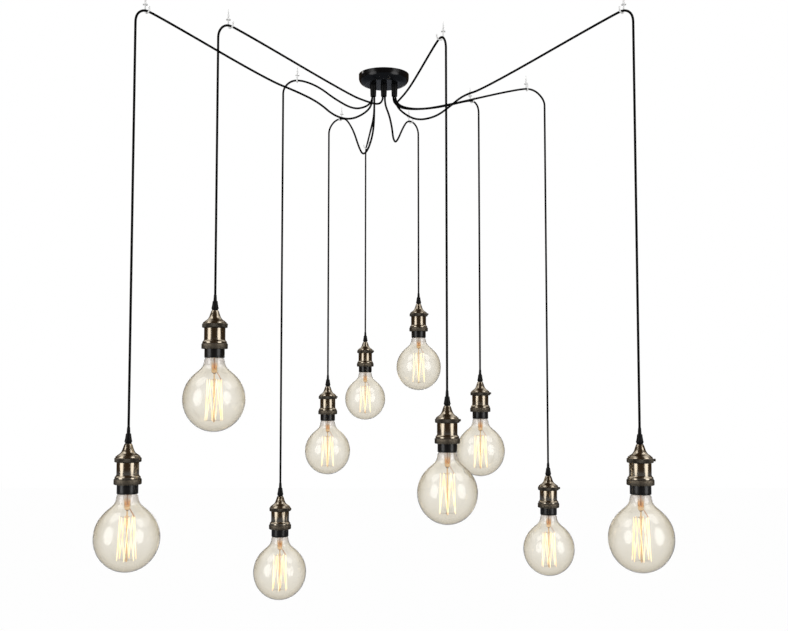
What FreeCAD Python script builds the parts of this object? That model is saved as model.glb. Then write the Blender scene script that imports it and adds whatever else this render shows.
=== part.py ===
"""Spider chandelier: ten lamps on cords that swag from one ceiling rose to ten hooks.

Millimetres, +Z up. The origin is the centre of the rose, in the plane of the ceiling.
The right-hand side of the usual view is +X, and the viewer stands at -Y.
"""
import FreeCAD, Part
import math
import os

V = FreeCAD.Vector

# Cord, one size for all ten lamps
CORD_DIA = 4.8
CORD_GAP = 0.4
CORD_FIT = 0.2
PIVOT_GAP = 0.3
ARC_SHARE = 0.45

# Rose: the round cover on the ceiling
ROSE_DIA = 123.0
ROSE_HEIGHT = 26.0
ROSE_WALL = 1.2
ROSE_EDGE_RADIUS = 17.0
ROSE_SCREW_DROP = 5.2
ROSE_SCREW_ANGLE = 35.0
ROSE_SCREW_DIA = 4.0
ROSE_SCREW_HEAD_DIA = 7.0
ROSE_SCREW_HEAD_HEIGHT = 2.4
ROSE_SCREW_LENGTH = 9.0

# Strap that carries the rose
STRAP_WIDTH = 18.0
STRAP_THICKNESS = 1.5
STRAP_TAB_BELOW_SCREW = 4.3
STRAP_TAB_WIDTH = 14.0
STRAP_CLEARANCE = 0.5
STRAP_HOLE_CIRCLE = 84.0
STRAP_HOLE_DIA = 5.2

# Tapered cord outlets under the rose, with their nuts and clamps
OUTLET_PITCH = 26.0
OUTLET_LENGTH = 28.0
OUTLET_ROOT_DIA = 15.8
OUTLET_TIP_DIA = 13.9
OUTLET_STUB_WALL = 0.9
NUT_THICKNESS = 3.0
NUT_ACROSS_FLATS = 20.0
STUB_STANDS_PROUD = 0.5
CLAMP_HEIGHT = 3.0
CLAMP_WALL = 1.5
CLAMP_LUG = 4.0
FIT = 0.1

# Terminal block under the strap
BLOCK_LENGTH = 72.0
BLOCK_WIDTH = 17.0
BLOCK_HEIGHT = 11.0
BLOCK_EDGE = 1.0
TERMINAL_SCREW_DIA = 3.2
TERMINAL_SCREW_DEPTH = 5.0
TERMINAL_SCREW_ROW = 5.2

# Screw hooks in the ceiling
HOOK_WIRE_DIA = 3.2
HOOK_INNER_RADIUS = 6.0
HOOK_TIP_RISE = 3.0
HOOK_COLLAR_DIA = 10.0
HOOK_COLLAR_HEIGHT = 1.5
HOOK_SHANK_DIA = 4.0
HOOK_PLAIN_SHANK = 8.0
HOOK_THREAD_LENGTH = 14.0
HOOK_THREAD_PITCH = 1.75
HOOK_THREAD_ROOT_DIA = 2.8
CORD_BELOW_CEILING = 16.0

# Lampholder, from the lower edge of its skirt upwards
SKIRT_DIA = 40.5
SKIRT_HEIGHT = 20.0
SKIRT_WALL = 1.5
LOWER_RING_DIA = 51.0
LOWER_RING_BAND = 8.5
LOWER_RING_HEIGHT = 13.3
SHELL_DIA = 42.4
SHELL_WALL = 1.0
SHELL_SHOWS = 25.7
UPPER_RING_DIA = 48.6
UPPER_RING_HEIGHT = 9.5
UPPER_RING_EDGE = 2.2
CONE_HEIGHT = 14.3
CONE_TOP_DIA = 15.4
CONE_BASE_DIA = 41.0
CONE_HOLLOW = 2.4
NECK_HEIGHT = 12.2
NECK_TOP_DIA = 11.6
NECK_BORE_DIA = 9.0
SET_SCREW_DIA = 5.4
SET_SCREW_STANDS_OUT = 4.0
SET_SCREW_ANGLE = -22.0

# Cord grip on top of the lampholder
GRIP_HEIGHT = 19.5
GRIP_TOP_DIA = 9.5
GRIP_WIDE_DIA = 13.8
GRIP_FOOT_DIA = 10.5
GRIP_WIDE_HEIGHT = 6.5
GRIP_STUB_LENGTH = 9.0
GRIP_SLEEVE_LENGTH = 12.0
GRIP_SLEEVE_DIA = 6.8

# Inside the lampholder
INSULATOR_START = 12.0
INSULATOR_SHOULDER = 24.0
INSULATOR_TOP = 50.0
THREAD_SLEEVE_WALL = 0.4
THREAD_SLEEVE_START = 12.5
THREAD_SLEEVE_LENGTH = 21.0
CONTACT_DIA = 11.0
CONTACT_HEIGHT = 2.7
TERMINAL_OUT = 9.5
TERMINAL_HEAD_HEIGHT = 2.5

# Bulb
GLOBE_DIA = 125.0
GLOBE_CENTRE_BELOW = 85.5
GLASS_WALL = 0.8
NECK_GLASS_DIA = 35.0
NECK_GLASS_END_DIA = 24.6
NECK_GLASS_HIDDEN = 12.0
CAP_DIA = 26.4
CAP_ROOT_DIA = 24.3
CAP_BORE_DIA = 23.2
CAP_START = 6.0
CAP_THREAD_START = 10.0
CAP_THREAD_PITCH = 3.6
CAP_TOP = 32.0
CAP_NECK_BORE_DIA = 25.4
BUTTON_DIA = 9.0
BUTTON_TOP = 34.0
BULB_CLEARANCE = 0.35

# Inside the bulb: glass mount, wires and filament cage
STEM_TUBE_DIA = 10.0
STEM_TUBE_END = -24.0
STEM_PRESS_END = -33.0
STEM_ROD_DIA = 3.2
BEAD_DIA = 6.4
BEAD_HEIGHT = 4.0
STEM_TIP = -127.0
CAGE_TOP = -44.0
CAGE_BOTTOM = -125.0
CAGE_TOP_RADIUS = 14.0
CAGE_BOTTOM_RADIUS = 18.5
FILAMENT_DIA = 0.8
SUPPORT_DIA = 0.7
LEAD_TURN = 9.0
CAGE_STEPS = 6

# Where the lamps hang. The tables are shares of these three sizes.
HOOK_SPREAD = 700.0
HOOK_BEND = 27.0
DEEPEST_LAMP = 1270.0

# Small overrun of a tool past the face that it cuts
OVERRUN = 1.0

# Each lamp: outlet (-1 left, 0 middle, 1 right), its seat in the cord bundle, the share of
# HOOK_SPREAD that places its hook, the share of HOOK_BEND from hook to hanging cord, and the
# share of DEEPEST_LAMP at its lowest point.
LAMP_PLACES = [
    (-1, (-1, -1), (-0.667, -0.671), (-0.67, -0.70), 0.878),
    (0, (-1, 0), (-0.449, -0.550), (-0.78, -0.96), 0.672),
    (-1, (-1, 1), (-0.304, -0.009), (-1.26, -0.04), 1.0),
    (-1, (1, -1), (-0.181, 0.510), (-1.22, 0.78), 0.796),
    (-1, (1, 1), (-0.089, 0.994), (-0.11, 1.04), 0.688),
    (0, (1, 0), (0.104, 0.549), (0.81, 0.89), 0.613),
    (1, (-1, -1), (0.177, -0.446), (0.41, -1.15), 0.824),
    (1, (-1, 1), (0.330, 0.249), (0.68, 0.60), 0.786),
    (1, (1, 1), (0.516, 0.093), (1.67, 0.30), 0.968),
    (1, (1, -1), (0.684, -0.671), (0.67, -0.70), 0.879),
]

# Route of each cord between its outlet and its hook, by hand
SWAG_POINTS = [
    [(-28.6, -2.6, -76), (-46, -20, -102), (-80, -58, -128), (-116, -98, -129),
     (-150, -136, -107), (-196, -182, -95), (-256, -247, -87)],
    [(-2.6, 0, -65), (-14, -14, -78.5), (-41, -47, -80), (-81, -96, -77)],
    [(-28.6, 2.6, -65), (-44, 2, -80), (-75, 0, -86), (-119, -2, -62), (-160, -4, -31)],
    [(-23.4, -2.6, -115), (-28, 12, -150), (-40, 42, -178), (-54, 88, -180),
     (-66, 140, -148), (-82, 218, -88), (-99, 300, -42)],
    [(-23.4, 2.6, -86), (-26, 18, -106), (-31, 58, -113)],
    [(2.6, 0, -74), (13, 7, -98), (20, 20, -126), (23, 50, -149), (31, 98, -147),
     (50, 250, -66)],
    [(23.4, -2.6, -65), (28.5, -20, -78.5), (39, -52, -76), (56, -101, -70),
     (74, -160, -58)],
    [(23.4, 2.6, -63.5), (34, 12, -76.5), (62, 34, -77), (105, 63, -68), (154, 104, -50)],
    [(28.6, 2.6, -64), (43, 5, -79), (84, 11, -83.5), (140, 22, -73.5)],
    [(28.6, -2.6, -75), (48, -23, -103), (81, -57, -129), (122, -100, -132),
     (152, -131, -118), (183, -162, -98), (226, -208, -97)],
]

# Sizes that follow from those above
cord_radius = CORD_DIA / 2
bundle_step = (CORD_DIA + CORD_GAP) / 2
bundle_radius = bundle_step * math.sqrt(2) + cord_radius
outlet_bore_radius = bundle_radius + CORD_FIT
stub_radius = outlet_bore_radius + OUTLET_STUB_WALL
rose_wall_foot = ROSE_EDGE_RADIUS - ROSE_HEIGHT
outlet_tip_height = -ROSE_HEIGHT - OUTLET_LENGTH
tab_depth = ROSE_SCREW_DROP + STRAP_TAB_BELOW_SCREW
nut_top = -ROSE_HEIGHT + ROSE_WALL + NUT_THICKNESS
stub_top = nut_top + STUB_STANDS_PROUD
block_bottom = -STRAP_THICKNESS - BLOCK_HEIGHT
lower_ring_top = SKIRT_HEIGHT + LOWER_RING_HEIGHT
upper_ring_base = lower_ring_top + SHELL_SHOWS
upper_ring_top = upper_ring_base + UPPER_RING_HEIGHT
cone_top = upper_ring_top + CONE_HEIGHT
neck_top = cone_top + NECK_HEIGHT
grip_top = neck_top + GRIP_HEIGHT
shell_bore_radius = SHELL_DIA / 2 - SHELL_WALL
sleeve_bore_radius = CAP_DIA / 2 + BULB_CLEARANCE
contact_base = BUTTON_TOP + BULB_CLEARANCE
bulb_length = GLOBE_CENTRE_BELOW + GLOBE_DIA / 2


def revolve(points):
    """Solid of revolution about Z from a closed outline of (radius, height) points."""
    corners = [V(radius, 0, height) for radius, height in points]
    face = Part.Face(Part.makePolygon(corners + corners[:1]))
    return face.revolve(V(0, 0, 0), V(0, 0, 1), 360)


def revolve_edges(edges):
    """Solid of revolution about Z from edges that close an outline in the XZ plane."""
    face = Part.Face(Part.Wire(Part.__sortEdges__(edges)))
    return face.revolve(V(0, 0, 0), V(0, 0, 1), 360)


def line(start, end):
    return Part.LineSegment(start, end).toShape()


def arc(centre, radius, start_angle, end_angle):
    """Arc in the XZ plane, with its angles from +X towards +Z."""
    def at(angle):
        return centre + V(math.cos(angle), 0, math.sin(angle)) * radius
    return Part.Arc(at(start_angle), at((start_angle + end_angle) / 2), at(end_angle)).toShape()


def rod(start, end, diameter):
    """Round rod from one point to another."""
    return Part.makeCylinder(diameter / 2, (end - start).Length, start, end - start)


def tube(outer_radius, inner_radius, base, height):
    outer = Part.makeCylinder(outer_radius, height, V(0, 0, base))
    inner = Part.makeCylinder(inner_radius, height + 2 * OVERRUN, V(0, 0, base - OVERRUN))
    return outer.cut(inner)


def export(name, solids):
    """Write one node, as one solid or as a group of separate solids."""
    for solid in solids:
        if not (solid.isValid() and solid.isClosed() and solid.Volume > 0):
            print("NOT A CLOSED SOLID:", name)
    shape = solids[0] if len(solids) == 1 else Part.makeCompound(solids)
    shape.exportStep("parts/" + name + ".step")


def only_solid(shape):
    """The single solid in the result of a boolean."""
    if len(shape.Solids) != 1:
        print("EXPECTED ONE SOLID, GOT", len(shape.Solids))
    return shape.Solids[0]


# Places of the lamps

def bundle_seat(lamp):
    """Where a cord leaves its outlet, in plan."""
    outlet, seat, hook, step, depth = lamp
    return V(outlet * OUTLET_PITCH + seat[0] * bundle_step, seat[1] * bundle_step, 0)


def hook_place(lamp):
    """Centre of the cord where it lies over its hook."""
    share = lamp[2]
    return V(share[0] * HOOK_SPREAD, share[1] * HOOK_SPREAD, -CORD_BELOW_CEILING)


def over_hook(lamp):
    """Horizontal step from the hook to the hanging cord."""
    share = lamp[3]
    return V(share[0] * HOOK_BEND, share[1] * HOOK_BEND, 0)


def hang_place(lamp):
    """Lower edge of the lampholder's skirt, on the lamp's axis."""
    place = hook_place(lamp) + over_hook(lamp)
    return V(place.x, place.y, -DEEPEST_LAMP * lamp[4] + bulb_length)


def pivot_place(lamp):
    """Where the hanging cord swings from: just under the bend."""
    place = hook_place(lamp) + over_hook(lamp)
    return place - V(0, 0, over_hook(lamp).Length + 2 * CORD_DIA)


# Cords

def cord_route(lamp, points):
    """All points of one cord's line, from the root of its outlet to its lampholder."""
    seat = bundle_seat(lamp)
    hook = hook_place(lamp)
    step = over_hook(lamp)
    corner = step * math.tan(math.pi / 8)
    bend = hook + step - V(0, 0, step.Length - corner.Length)
    foot = hang_place(lamp) + V(0, 0, grip_top)
    route = [V(seat.x, seat.y, -ROSE_HEIGHT)]
    route += [V(*point) for point in points]
    return route + [hook - corner, hook + corner, bend, foot]


def cord_line(route, start, end):
    """Straight runs joined by tangent arcs; the first and last run are cut at start and end."""
    edges = []
    radii = []
    here = start
    for before, point, after in zip(route, route[1:], route[2:]):
        arriving = point - before
        leaving = after - point
        setback = ARC_SHARE * min(arriving.Length, leaving.Length)
        half_turn = arriving.getAngle(leaving) / 2
        radius = setback / math.tan(half_turn)
        arriving.normalize()
        leaving.normalize()
        inward = leaving - arriving
        inward.normalize()
        arc_start = point - arriving * setback
        arc_end = point + leaving * setback
        arc_middle = point + inward * (radius / math.cos(half_turn) - radius)
        edges.append(line(here, arc_start))
        edges.append(Part.Arc(arc_start, arc_middle, arc_end).toShape())
        radii.append(radius)
        here = arc_end
    edges.append(line(here, end))
    return Part.Wire(edges), radii


def swag_cord(number, lamp, points):
    """The cord from the terminal block, through its outlet and over its hook."""
    route = cord_route(lamp, points)
    start = V(route[0].x, route[0].y, block_bottom)
    end = pivot_place(lamp) + V(0, 0, cord_radius + PIVOT_GAP)
    path, radii = cord_line(route, start, end)
    section = Part.Wire(Part.makeCircle(cord_radius, start, V(0, 0, -1)))
    solid = path.makePipeShell([section], True, False).Solids[0]
    ideal = math.pi * cord_radius ** 2 * path.Length
    print("cord", number, "length", round(path.Length), "mm, volume to section x length",
          round(solid.Volume / ideal, 4), "radii", [round(radius) for radius in radii])
    return solid


def drop_cord(lamp):
    """The hanging cord, with a round top end on its pivot and its foot on the insulator."""
    pivot = pivot_place(lamp)
    foot = hang_place(lamp) + V(0, 0, INSULATOR_TOP)
    straight = rod(foot, pivot, CORD_DIA)
    return only_solid(straight.fuse(Part.makeSphere(cord_radius, pivot)).removeSplitter())


# Rose and what is in it

def rose():
    """Pressed steel bowl: flat bottom, wide rounded edge, open top."""
    radius = ROSE_DIA / 2
    inner_edge = ROSE_EDGE_RADIUS - ROSE_WALL
    turn_centre = V(radius - ROSE_EDGE_RADIUS, 0, rose_wall_foot)
    bottom = -ROSE_HEIGHT
    edges = [
        line(V(0, 0, bottom), V(turn_centre.x, 0, bottom)),
        arc(turn_centre, ROSE_EDGE_RADIUS, -math.pi / 2, 0),
        line(V(radius, 0, turn_centre.z), V(radius, 0, 0)),
        line(V(radius, 0, 0), V(radius - ROSE_WALL, 0, 0)),
        line(V(radius - ROSE_WALL, 0, 0), V(radius - ROSE_WALL, 0, turn_centre.z)),
        arc(turn_centre, inner_edge, 0, -math.pi / 2),
        line(V(turn_centre.x, 0, bottom + ROSE_WALL), V(0, 0, bottom + ROSE_WALL)),
        line(V(0, 0, bottom + ROSE_WALL), V(0, 0, bottom)),
    ]
    cover = revolve_edges(edges)
    for outlet in (-1, 0, 1):
        start = V(outlet * OUTLET_PITCH, 0, bottom - OVERRUN)
        cover = cover.cut(Part.makeCylinder(stub_radius + FIT, ROSE_WALL + 2 * OVERRUN, start))
    for side in (0, 180):
        cover = cover.cut(side_hole(side, ROSE_SCREW_DIA + 2 * FIT))
    return only_solid(cover)


def room_in_rose(height):
    """Inner radius of the rose at a height, in its straight wall or its rounded edge."""
    inner_edge = ROSE_EDGE_RADIUS - ROSE_WALL
    below = max(0, rose_wall_foot - height)
    return ROSE_DIA / 2 - ROSE_EDGE_RADIUS + math.sqrt(inner_edge ** 2 - below ** 2)


def side_direction(side):
    angle = math.radians(ROSE_SCREW_ANGLE + side)
    return V(math.cos(angle), math.sin(angle), 0)


def side_hole(side, diameter):
    """Drill for one side screw, through the cover and the strap's tab."""
    outward = side_direction(side)
    middle = V(0, 0, -ROSE_SCREW_DROP)
    return rod(middle + outward * (ROSE_DIA / 2 - ROSE_SCREW_LENGTH),
               middle + outward * (ROSE_DIA / 2 + OVERRUN), diameter)


def side_screws():
    """The two screws in the side of the rose."""
    screws = []
    for side in (0, 180):
        outward = side_direction(side)
        middle = V(0, 0, -ROSE_SCREW_DROP)
        seat = middle + outward * (ROSE_DIA / 2 + FIT)
        shaft = rod(seat - outward * ROSE_SCREW_LENGTH, seat, ROSE_SCREW_DIA)
        head = rod(seat, seat + outward * ROSE_SCREW_HEAD_HEIGHT, ROSE_SCREW_HEAD_DIA)
        rim = [edge for edge in head.Edges
               if edge.BoundBox.Center.distanceToPoint(seat) > ROSE_SCREW_HEAD_HEIGHT * 3 / 4
               and len(edge.Vertexes) == 1]
        head = head.makeFillet(ROSE_SCREW_HEAD_HEIGHT / 2, rim)
        screws.append(only_solid(shaft.fuse(head)))
    return screws


def strap():
    """Flat bar against the ceiling, with a tab turned down at each end for a side screw."""
    reach = math.sqrt(room_in_rose(-tab_depth) ** 2 - (STRAP_TAB_WIDTH / 2) ** 2)
    reach -= STRAP_CLEARANCE
    bar = Part.makeBox(2 * reach, STRAP_WIDTH, STRAP_THICKNESS,
                       V(-reach, -STRAP_WIDTH / 2, -STRAP_THICKNESS))
    end_width = (STRAP_WIDTH - STRAP_TAB_WIDTH) / 2
    shape = bar
    for side in (-1, 1):
        for edge in (-1, 1):
            low = V(min(side * reach, side * (reach - end_width)),
                    min(edge * STRAP_WIDTH / 2, edge * STRAP_TAB_WIDTH / 2),
                    -STRAP_THICKNESS - OVERRUN)
            notch = Part.makeBox(end_width, end_width, STRAP_THICKNESS + 2 * OVERRUN, low)
            shape = shape.cut(notch)
        inner = side * (reach - STRAP_THICKNESS)
        tab = Part.makeBox(STRAP_THICKNESS, STRAP_TAB_WIDTH, tab_depth,
                           V(min(side * reach, inner), -STRAP_TAB_WIDTH / 2, -tab_depth))
        shape = shape.fuse(tab)
        hole = Part.makeCylinder(STRAP_HOLE_DIA / 2, STRAP_THICKNESS + 2 * OVERRUN,
                                 V(side * STRAP_HOLE_CIRCLE / 2, 0, -STRAP_THICKNESS - OVERRUN))
        shape = shape.cut(hole)
    shape.rotate(V(0, 0, 0), V(0, 0, 1), ROSE_SCREW_ANGLE)
    for side in (0, 180):
        shape = shape.cut(side_hole(side, ROSE_SCREW_DIA + 2 * FIT))
    return only_solid(shape.removeSplitter())


def outlets():
    """Tapered sleeves under the rose, each with a hollow stub up through its hole."""
    sleeves = []
    for outlet in (-1, 0, 1):
        bottom = -ROSE_HEIGHT
        sleeve = revolve([
            (outlet_bore_radius, outlet_tip_height),
            (OUTLET_TIP_DIA / 2, outlet_tip_height),
            (OUTLET_ROOT_DIA / 2, bottom),
            (stub_radius, bottom),
            (stub_radius, stub_top),
            (outlet_bore_radius, stub_top),
        ])
        sleeves.append(sleeve.translated(V(outlet * OUTLET_PITCH, 0, 0)))
    return sleeves


def hexagon(across_flats, thickness, base):
    corner_radius = across_flats / 2 / math.cos(math.pi / 6)
    corners = [V(corner_radius * math.cos(math.pi / 3 * i), corner_radius * math.sin(math.pi / 3 * i),
                 base) for i in range(6)]
    return Part.Face(Part.makePolygon(corners + corners[:1])).extrude(V(0, 0, thickness))


def outlet_nuts():
    """Hexagon nuts inside the rose."""
    nuts = []
    for outlet in (-1, 0, 1):
        nut = hexagon(NUT_ACROSS_FLATS, NUT_THICKNESS, nut_top - NUT_THICKNESS)
        bore = Part.makeCylinder(stub_radius + FIT, NUT_THICKNESS + 2 * OVERRUN,
                                 V(0, 0, nut_top - NUT_THICKNESS - OVERRUN))
        nuts.append(nut.cut(bore).Solids[0].translated(V(outlet * OUTLET_PITCH, 0, 0)))
    return nuts


def cord_clamps():
    """Bands round each bundle, which stop the cords from being pulled out."""
    clamps = []
    for outlet in (-1, 0, 1):
        inner = bundle_radius + FIT
        band = tube(inner + CLAMP_WALL, inner, stub_top, CLAMP_HEIGHT)
        lug = Part.makeBox(CLAMP_LUG, CLAMP_LUG, CLAMP_HEIGHT,
                           V(-CLAMP_LUG / 2, inner + CLAMP_WALL / 2, stub_top))
        clamp = only_solid(band.fuse(lug).removeSplitter())
        clamps.append(clamp.translated(V(outlet * OUTLET_PITCH, 0, 0)))
    return clamps


def terminal_places():
    """Plan places of the terminal screws: a row in each space between two outlets."""
    return [V(side * OUTLET_PITCH / 2, row * TERMINAL_SCREW_ROW, block_bottom)
            for side in (-1, 1) for row in (-1, 0, 1)]


def terminal_block():
    """Moulded block under the strap, in which all the cords end."""
    block = Part.makeBox(BLOCK_LENGTH, BLOCK_WIDTH, BLOCK_HEIGHT,
                         V(-BLOCK_LENGTH / 2, -BLOCK_WIDTH / 2, block_bottom))
    uprights = [edge for edge in block.Edges
                if abs(edge.Vertexes[0].Z - edge.Vertexes[1].Z) > BLOCK_HEIGHT / 2]
    block = block.makeFillet(BLOCK_EDGE, uprights)
    for place in terminal_places():
        block = block.cut(Part.makeCylinder(TERMINAL_SCREW_DIA / 2 + FIT, TERMINAL_SCREW_DEPTH, place))
    return only_solid(block)


def terminal_screws():
    """Grub screws in the terminal block."""
    return [Part.makeCylinder(TERMINAL_SCREW_DIA / 2, TERMINAL_SCREW_DEPTH, place)
            for place in terminal_places()]


# Hooks

def hook_screw():
    """Collar, plain shank and pointed screw thread, on the Z axis."""
    shank = HOOK_SHANK_DIA / 2
    root = HOOK_THREAD_ROOT_DIA / 2
    points = [(0, -HOOK_COLLAR_HEIGHT), (HOOK_COLLAR_DIA / 2, -HOOK_COLLAR_HEIGHT),
              (HOOK_COLLAR_DIA / 2, 0), (shank, 0), (shank, HOOK_PLAIN_SHANK)]
    turns = int(HOOK_THREAD_LENGTH / HOOK_THREAD_PITCH)
    for turn in range(turns):
        height = HOOK_PLAIN_SHANK + turn * HOOK_THREAD_PITCH
        taper = 1 - turn / turns
        points.append((root * taper, height + HOOK_THREAD_PITCH / 3))
        points.append((shank * taper, height + HOOK_THREAD_PITCH * 2 / 3))
    points.append((0, HOOK_PLAIN_SHANK + HOOK_THREAD_LENGTH))
    return revolve(points)


def hook(lamp):
    """Open screw hook across the cord, with its shank on the side away from the viewer."""
    place = hook_place(lamp)
    along = over_hook(lamp)
    along.normalize()
    across = V(-along.y, along.x, 0)
    if across.y < 0:
        across = across * -1
    reach = HOOK_INNER_RADIUS + HOOK_WIRE_DIA / 2
    saddle_top = -CORD_BELOW_CEILING - cord_radius - CORD_FIT
    centre = V(place.x, place.y, saddle_top + HOOK_INNER_RADIUS)
    shank_foot = centre + across * reach
    tip_foot = centre - across * reach
    tip_end = tip_foot + V(0, 0, HOOK_TIP_RISE)
    section = Part.Face(Part.Wire(Part.makeCircle(HOOK_WIRE_DIA / 2, shank_foot, V(0, 0, 1))))
    bend = section.revolve(centre, across.cross(V(0, 0, -1)), 180)
    collar_top = V(shank_foot.x, shank_foot.y, -HOOK_COLLAR_HEIGHT / 2)
    shape = bend.fuse([rod(shank_foot, collar_top, HOOK_WIRE_DIA),
                       rod(tip_foot, tip_end, HOOK_WIRE_DIA),
                       Part.makeSphere(HOOK_WIRE_DIA / 2, tip_end),
                       hook_screw().translated(V(shank_foot.x, shank_foot.y, 0))])
    return only_solid(shape.removeSplitter())


# Lampholder, built with the lower edge of its skirt at the origin

def dome_cap():
    """Thin brass cap: a neck, a hollowed cone and a short wall inside the upper ring."""
    base_radius = CONE_BASE_DIA / 2
    top_radius = CONE_TOP_DIA / 2
    middle_radius = (base_radius + top_radius) / 2 - CONE_HOLLOW
    middle = upper_ring_top + CONE_HEIGHT / 2
    wall_foot = upper_ring_base + UPPER_RING_HEIGHT / 2 + FIT

    def side(offset):
        cone = Part.Arc(V(base_radius - offset, 0, upper_ring_top),
                        V(middle_radius - offset, 0, middle - offset),
                        V(top_radius - offset, 0, cone_top)).toShape()
        return cone

    neck_outer = V(NECK_TOP_DIA / 2, 0, neck_top)
    neck_inner = V(NECK_BORE_DIA / 2, 0, neck_top)
    shell_radius = SHELL_DIA / 2
    inner_cone_foot = V(base_radius - SHELL_WALL, 0, upper_ring_top)
    inner_cone_top = V(top_radius - SHELL_WALL, 0, cone_top)
    wall_inner = V(shell_radius - SHELL_WALL, 0, wall_foot)
    edges = [
        line(V(top_radius, 0, cone_top), neck_outer),
        line(neck_outer, neck_inner),
        line(neck_inner, V(NECK_BORE_DIA / 2, 0, neck_top - GRIP_STUB_LENGTH)),
        line(V(NECK_BORE_DIA / 2, 0, neck_top - GRIP_STUB_LENGTH), inner_cone_top),
        side(SHELL_WALL),
        line(inner_cone_foot, wall_inner),
        line(wall_inner, V(shell_radius, 0, wall_foot)),
        line(V(shell_radius, 0, wall_foot), V(base_radius, 0, upper_ring_top)),
        side(0),
    ]
    return revolve_edges(edges)


def upper_ring():
    """Rounded ring over the joint between cap and shell."""
    outer = UPPER_RING_DIA / 2
    inner = SHELL_DIA / 2 + FIT
    edge = min(UPPER_RING_EDGE, outer - inner - FIT)
    return revolve([
        (inner, upper_ring_base), (outer - edge, upper_ring_base),
        (outer, upper_ring_base + edge / 2), (outer, upper_ring_top - edge),
        (outer - edge, upper_ring_top), (inner, upper_ring_top),
    ])


def shell():
    """Plain brass cylinder."""
    foot = SKIRT_HEIGHT + LOWER_RING_BAND / 2
    top = upper_ring_base + UPPER_RING_HEIGHT / 2
    return tube(SHELL_DIA / 2, shell_bore_radius, foot, top - foot)


def lower_ring():
    """Ring that flares from the shell to a band over the top of the skirt."""
    inner = SHELL_DIA / 2 + FIT
    band_top = SKIRT_HEIGHT + LOWER_RING_BAND
    return revolve([
        (inner, SKIRT_HEIGHT), (LOWER_RING_DIA / 2, SKIRT_HEIGHT),
        (LOWER_RING_DIA / 2, band_top), (inner + SHELL_WALL, lower_ring_top),
        (inner, lower_ring_top),
    ])


def set_screw():
    """Small screw in the side of the upper ring."""
    angle = math.radians(SET_SCREW_ANGLE)
    outward = V(math.cos(angle), math.sin(angle), 0)
    height = V(0, 0, upper_ring_top - SET_SCREW_DIA / 2)
    start = outward * (UPPER_RING_DIA / 2 + FIT) + height
    return rod(start, start + outward * SET_SCREW_STANDS_OUT, SET_SCREW_DIA)


def thread_sleeve():
    """Thin brass sleeve that takes the bulb's cap."""
    outer = sleeve_bore_radius + THREAD_SLEEVE_WALL
    return tube(outer, sleeve_bore_radius, THREAD_SLEEVE_START, THREAD_SLEEVE_LENGTH)


def centre_contact():
    return Part.makeCylinder(CONTACT_DIA / 2, CONTACT_HEIGHT, V(0, 0, contact_base))


def holder_terminals():
    """Two screws on top of the insulator, for the cord's cores."""
    return [Part.makeCylinder(TERMINAL_SCREW_DIA, TERMINAL_HEAD_HEIGHT,
                              V(side * TERMINAL_OUT, 0, INSULATOR_TOP)) for side in (-1, 1)]


def insulator():
    """Moulded body inside the shell, which carries sleeve, contact and terminals."""
    bore = sleeve_bore_radius + THREAD_SLEEVE_WALL + FIT
    spigot = SKIRT_DIA / 2 - SKIRT_WALL - FIT
    body = shell_bore_radius - FIT
    roof = contact_base + CONTACT_HEIGHT
    return revolve([
        (bore, INSULATOR_START), (spigot, INSULATOR_START), (spigot, INSULATOR_SHOULDER),
        (body, INSULATOR_SHOULDER), (body, INSULATOR_TOP), (0, INSULATOR_TOP), (0, roof),
        (bore, roof),
    ])


def skirt():
    """Black ring that screws up over the insulator's lower end."""
    outer = SKIRT_DIA / 2
    inner = outer - SKIRT_WALL
    return revolve([
        (inner, 0), (outer - SKIRT_WALL / 2, 0), (outer, SKIRT_WALL / 2),
        (outer, SKIRT_HEIGHT - FIT), (inner, SKIRT_HEIGHT - FIT),
    ])


def cord_grip():
    """Black cone that grips the cord, with a thin sleeve above it and its stub in the neck."""
    bore = cord_radius + CORD_FIT
    wide_top = neck_top + GRIP_WIDE_HEIGHT
    sleeve_top = grip_top + GRIP_SLEEVE_LENGTH
    stub = NECK_BORE_DIA / 2 - FIT
    return revolve([
        (bore, neck_top - GRIP_STUB_LENGTH + FIT), (stub, neck_top - GRIP_STUB_LENGTH + FIT),
        (stub, neck_top), (GRIP_FOOT_DIA / 2, neck_top),
        (GRIP_WIDE_DIA / 2, neck_top + GRIP_WIDE_HEIGHT / 2),
        (GRIP_WIDE_DIA / 2, wide_top), (GRIP_TOP_DIA / 2, grip_top),
        (GRIP_SLEEVE_DIA / 2, grip_top), (GRIP_SLEEVE_DIA / 2, sleeve_top), (bore, sleeve_top),
    ])


# Bulb, built with the lower edge of the lampholder's skirt at the origin

def glass_line(inset):
    """Globe arc and neck arc of the envelope, drawn in by inset from its outer face."""
    globe = GLOBE_DIA / 2
    neck = NECK_GLASS_DIA / 2
    below = GLOBE_CENTRE_BELOW
    flare = (neck ** 2 + below ** 2 - globe ** 2) / (2 * (globe - neck))
    lean = math.atan2(below, neck + flare)
    globe_arc = arc(V(0, 0, -below), globe - inset, -math.pi / 2, lean)
    neck_arc = arc(V(neck + flare, 0, 0), flare + inset, math.pi + lean, math.pi)
    return globe_arc, neck_arc


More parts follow.
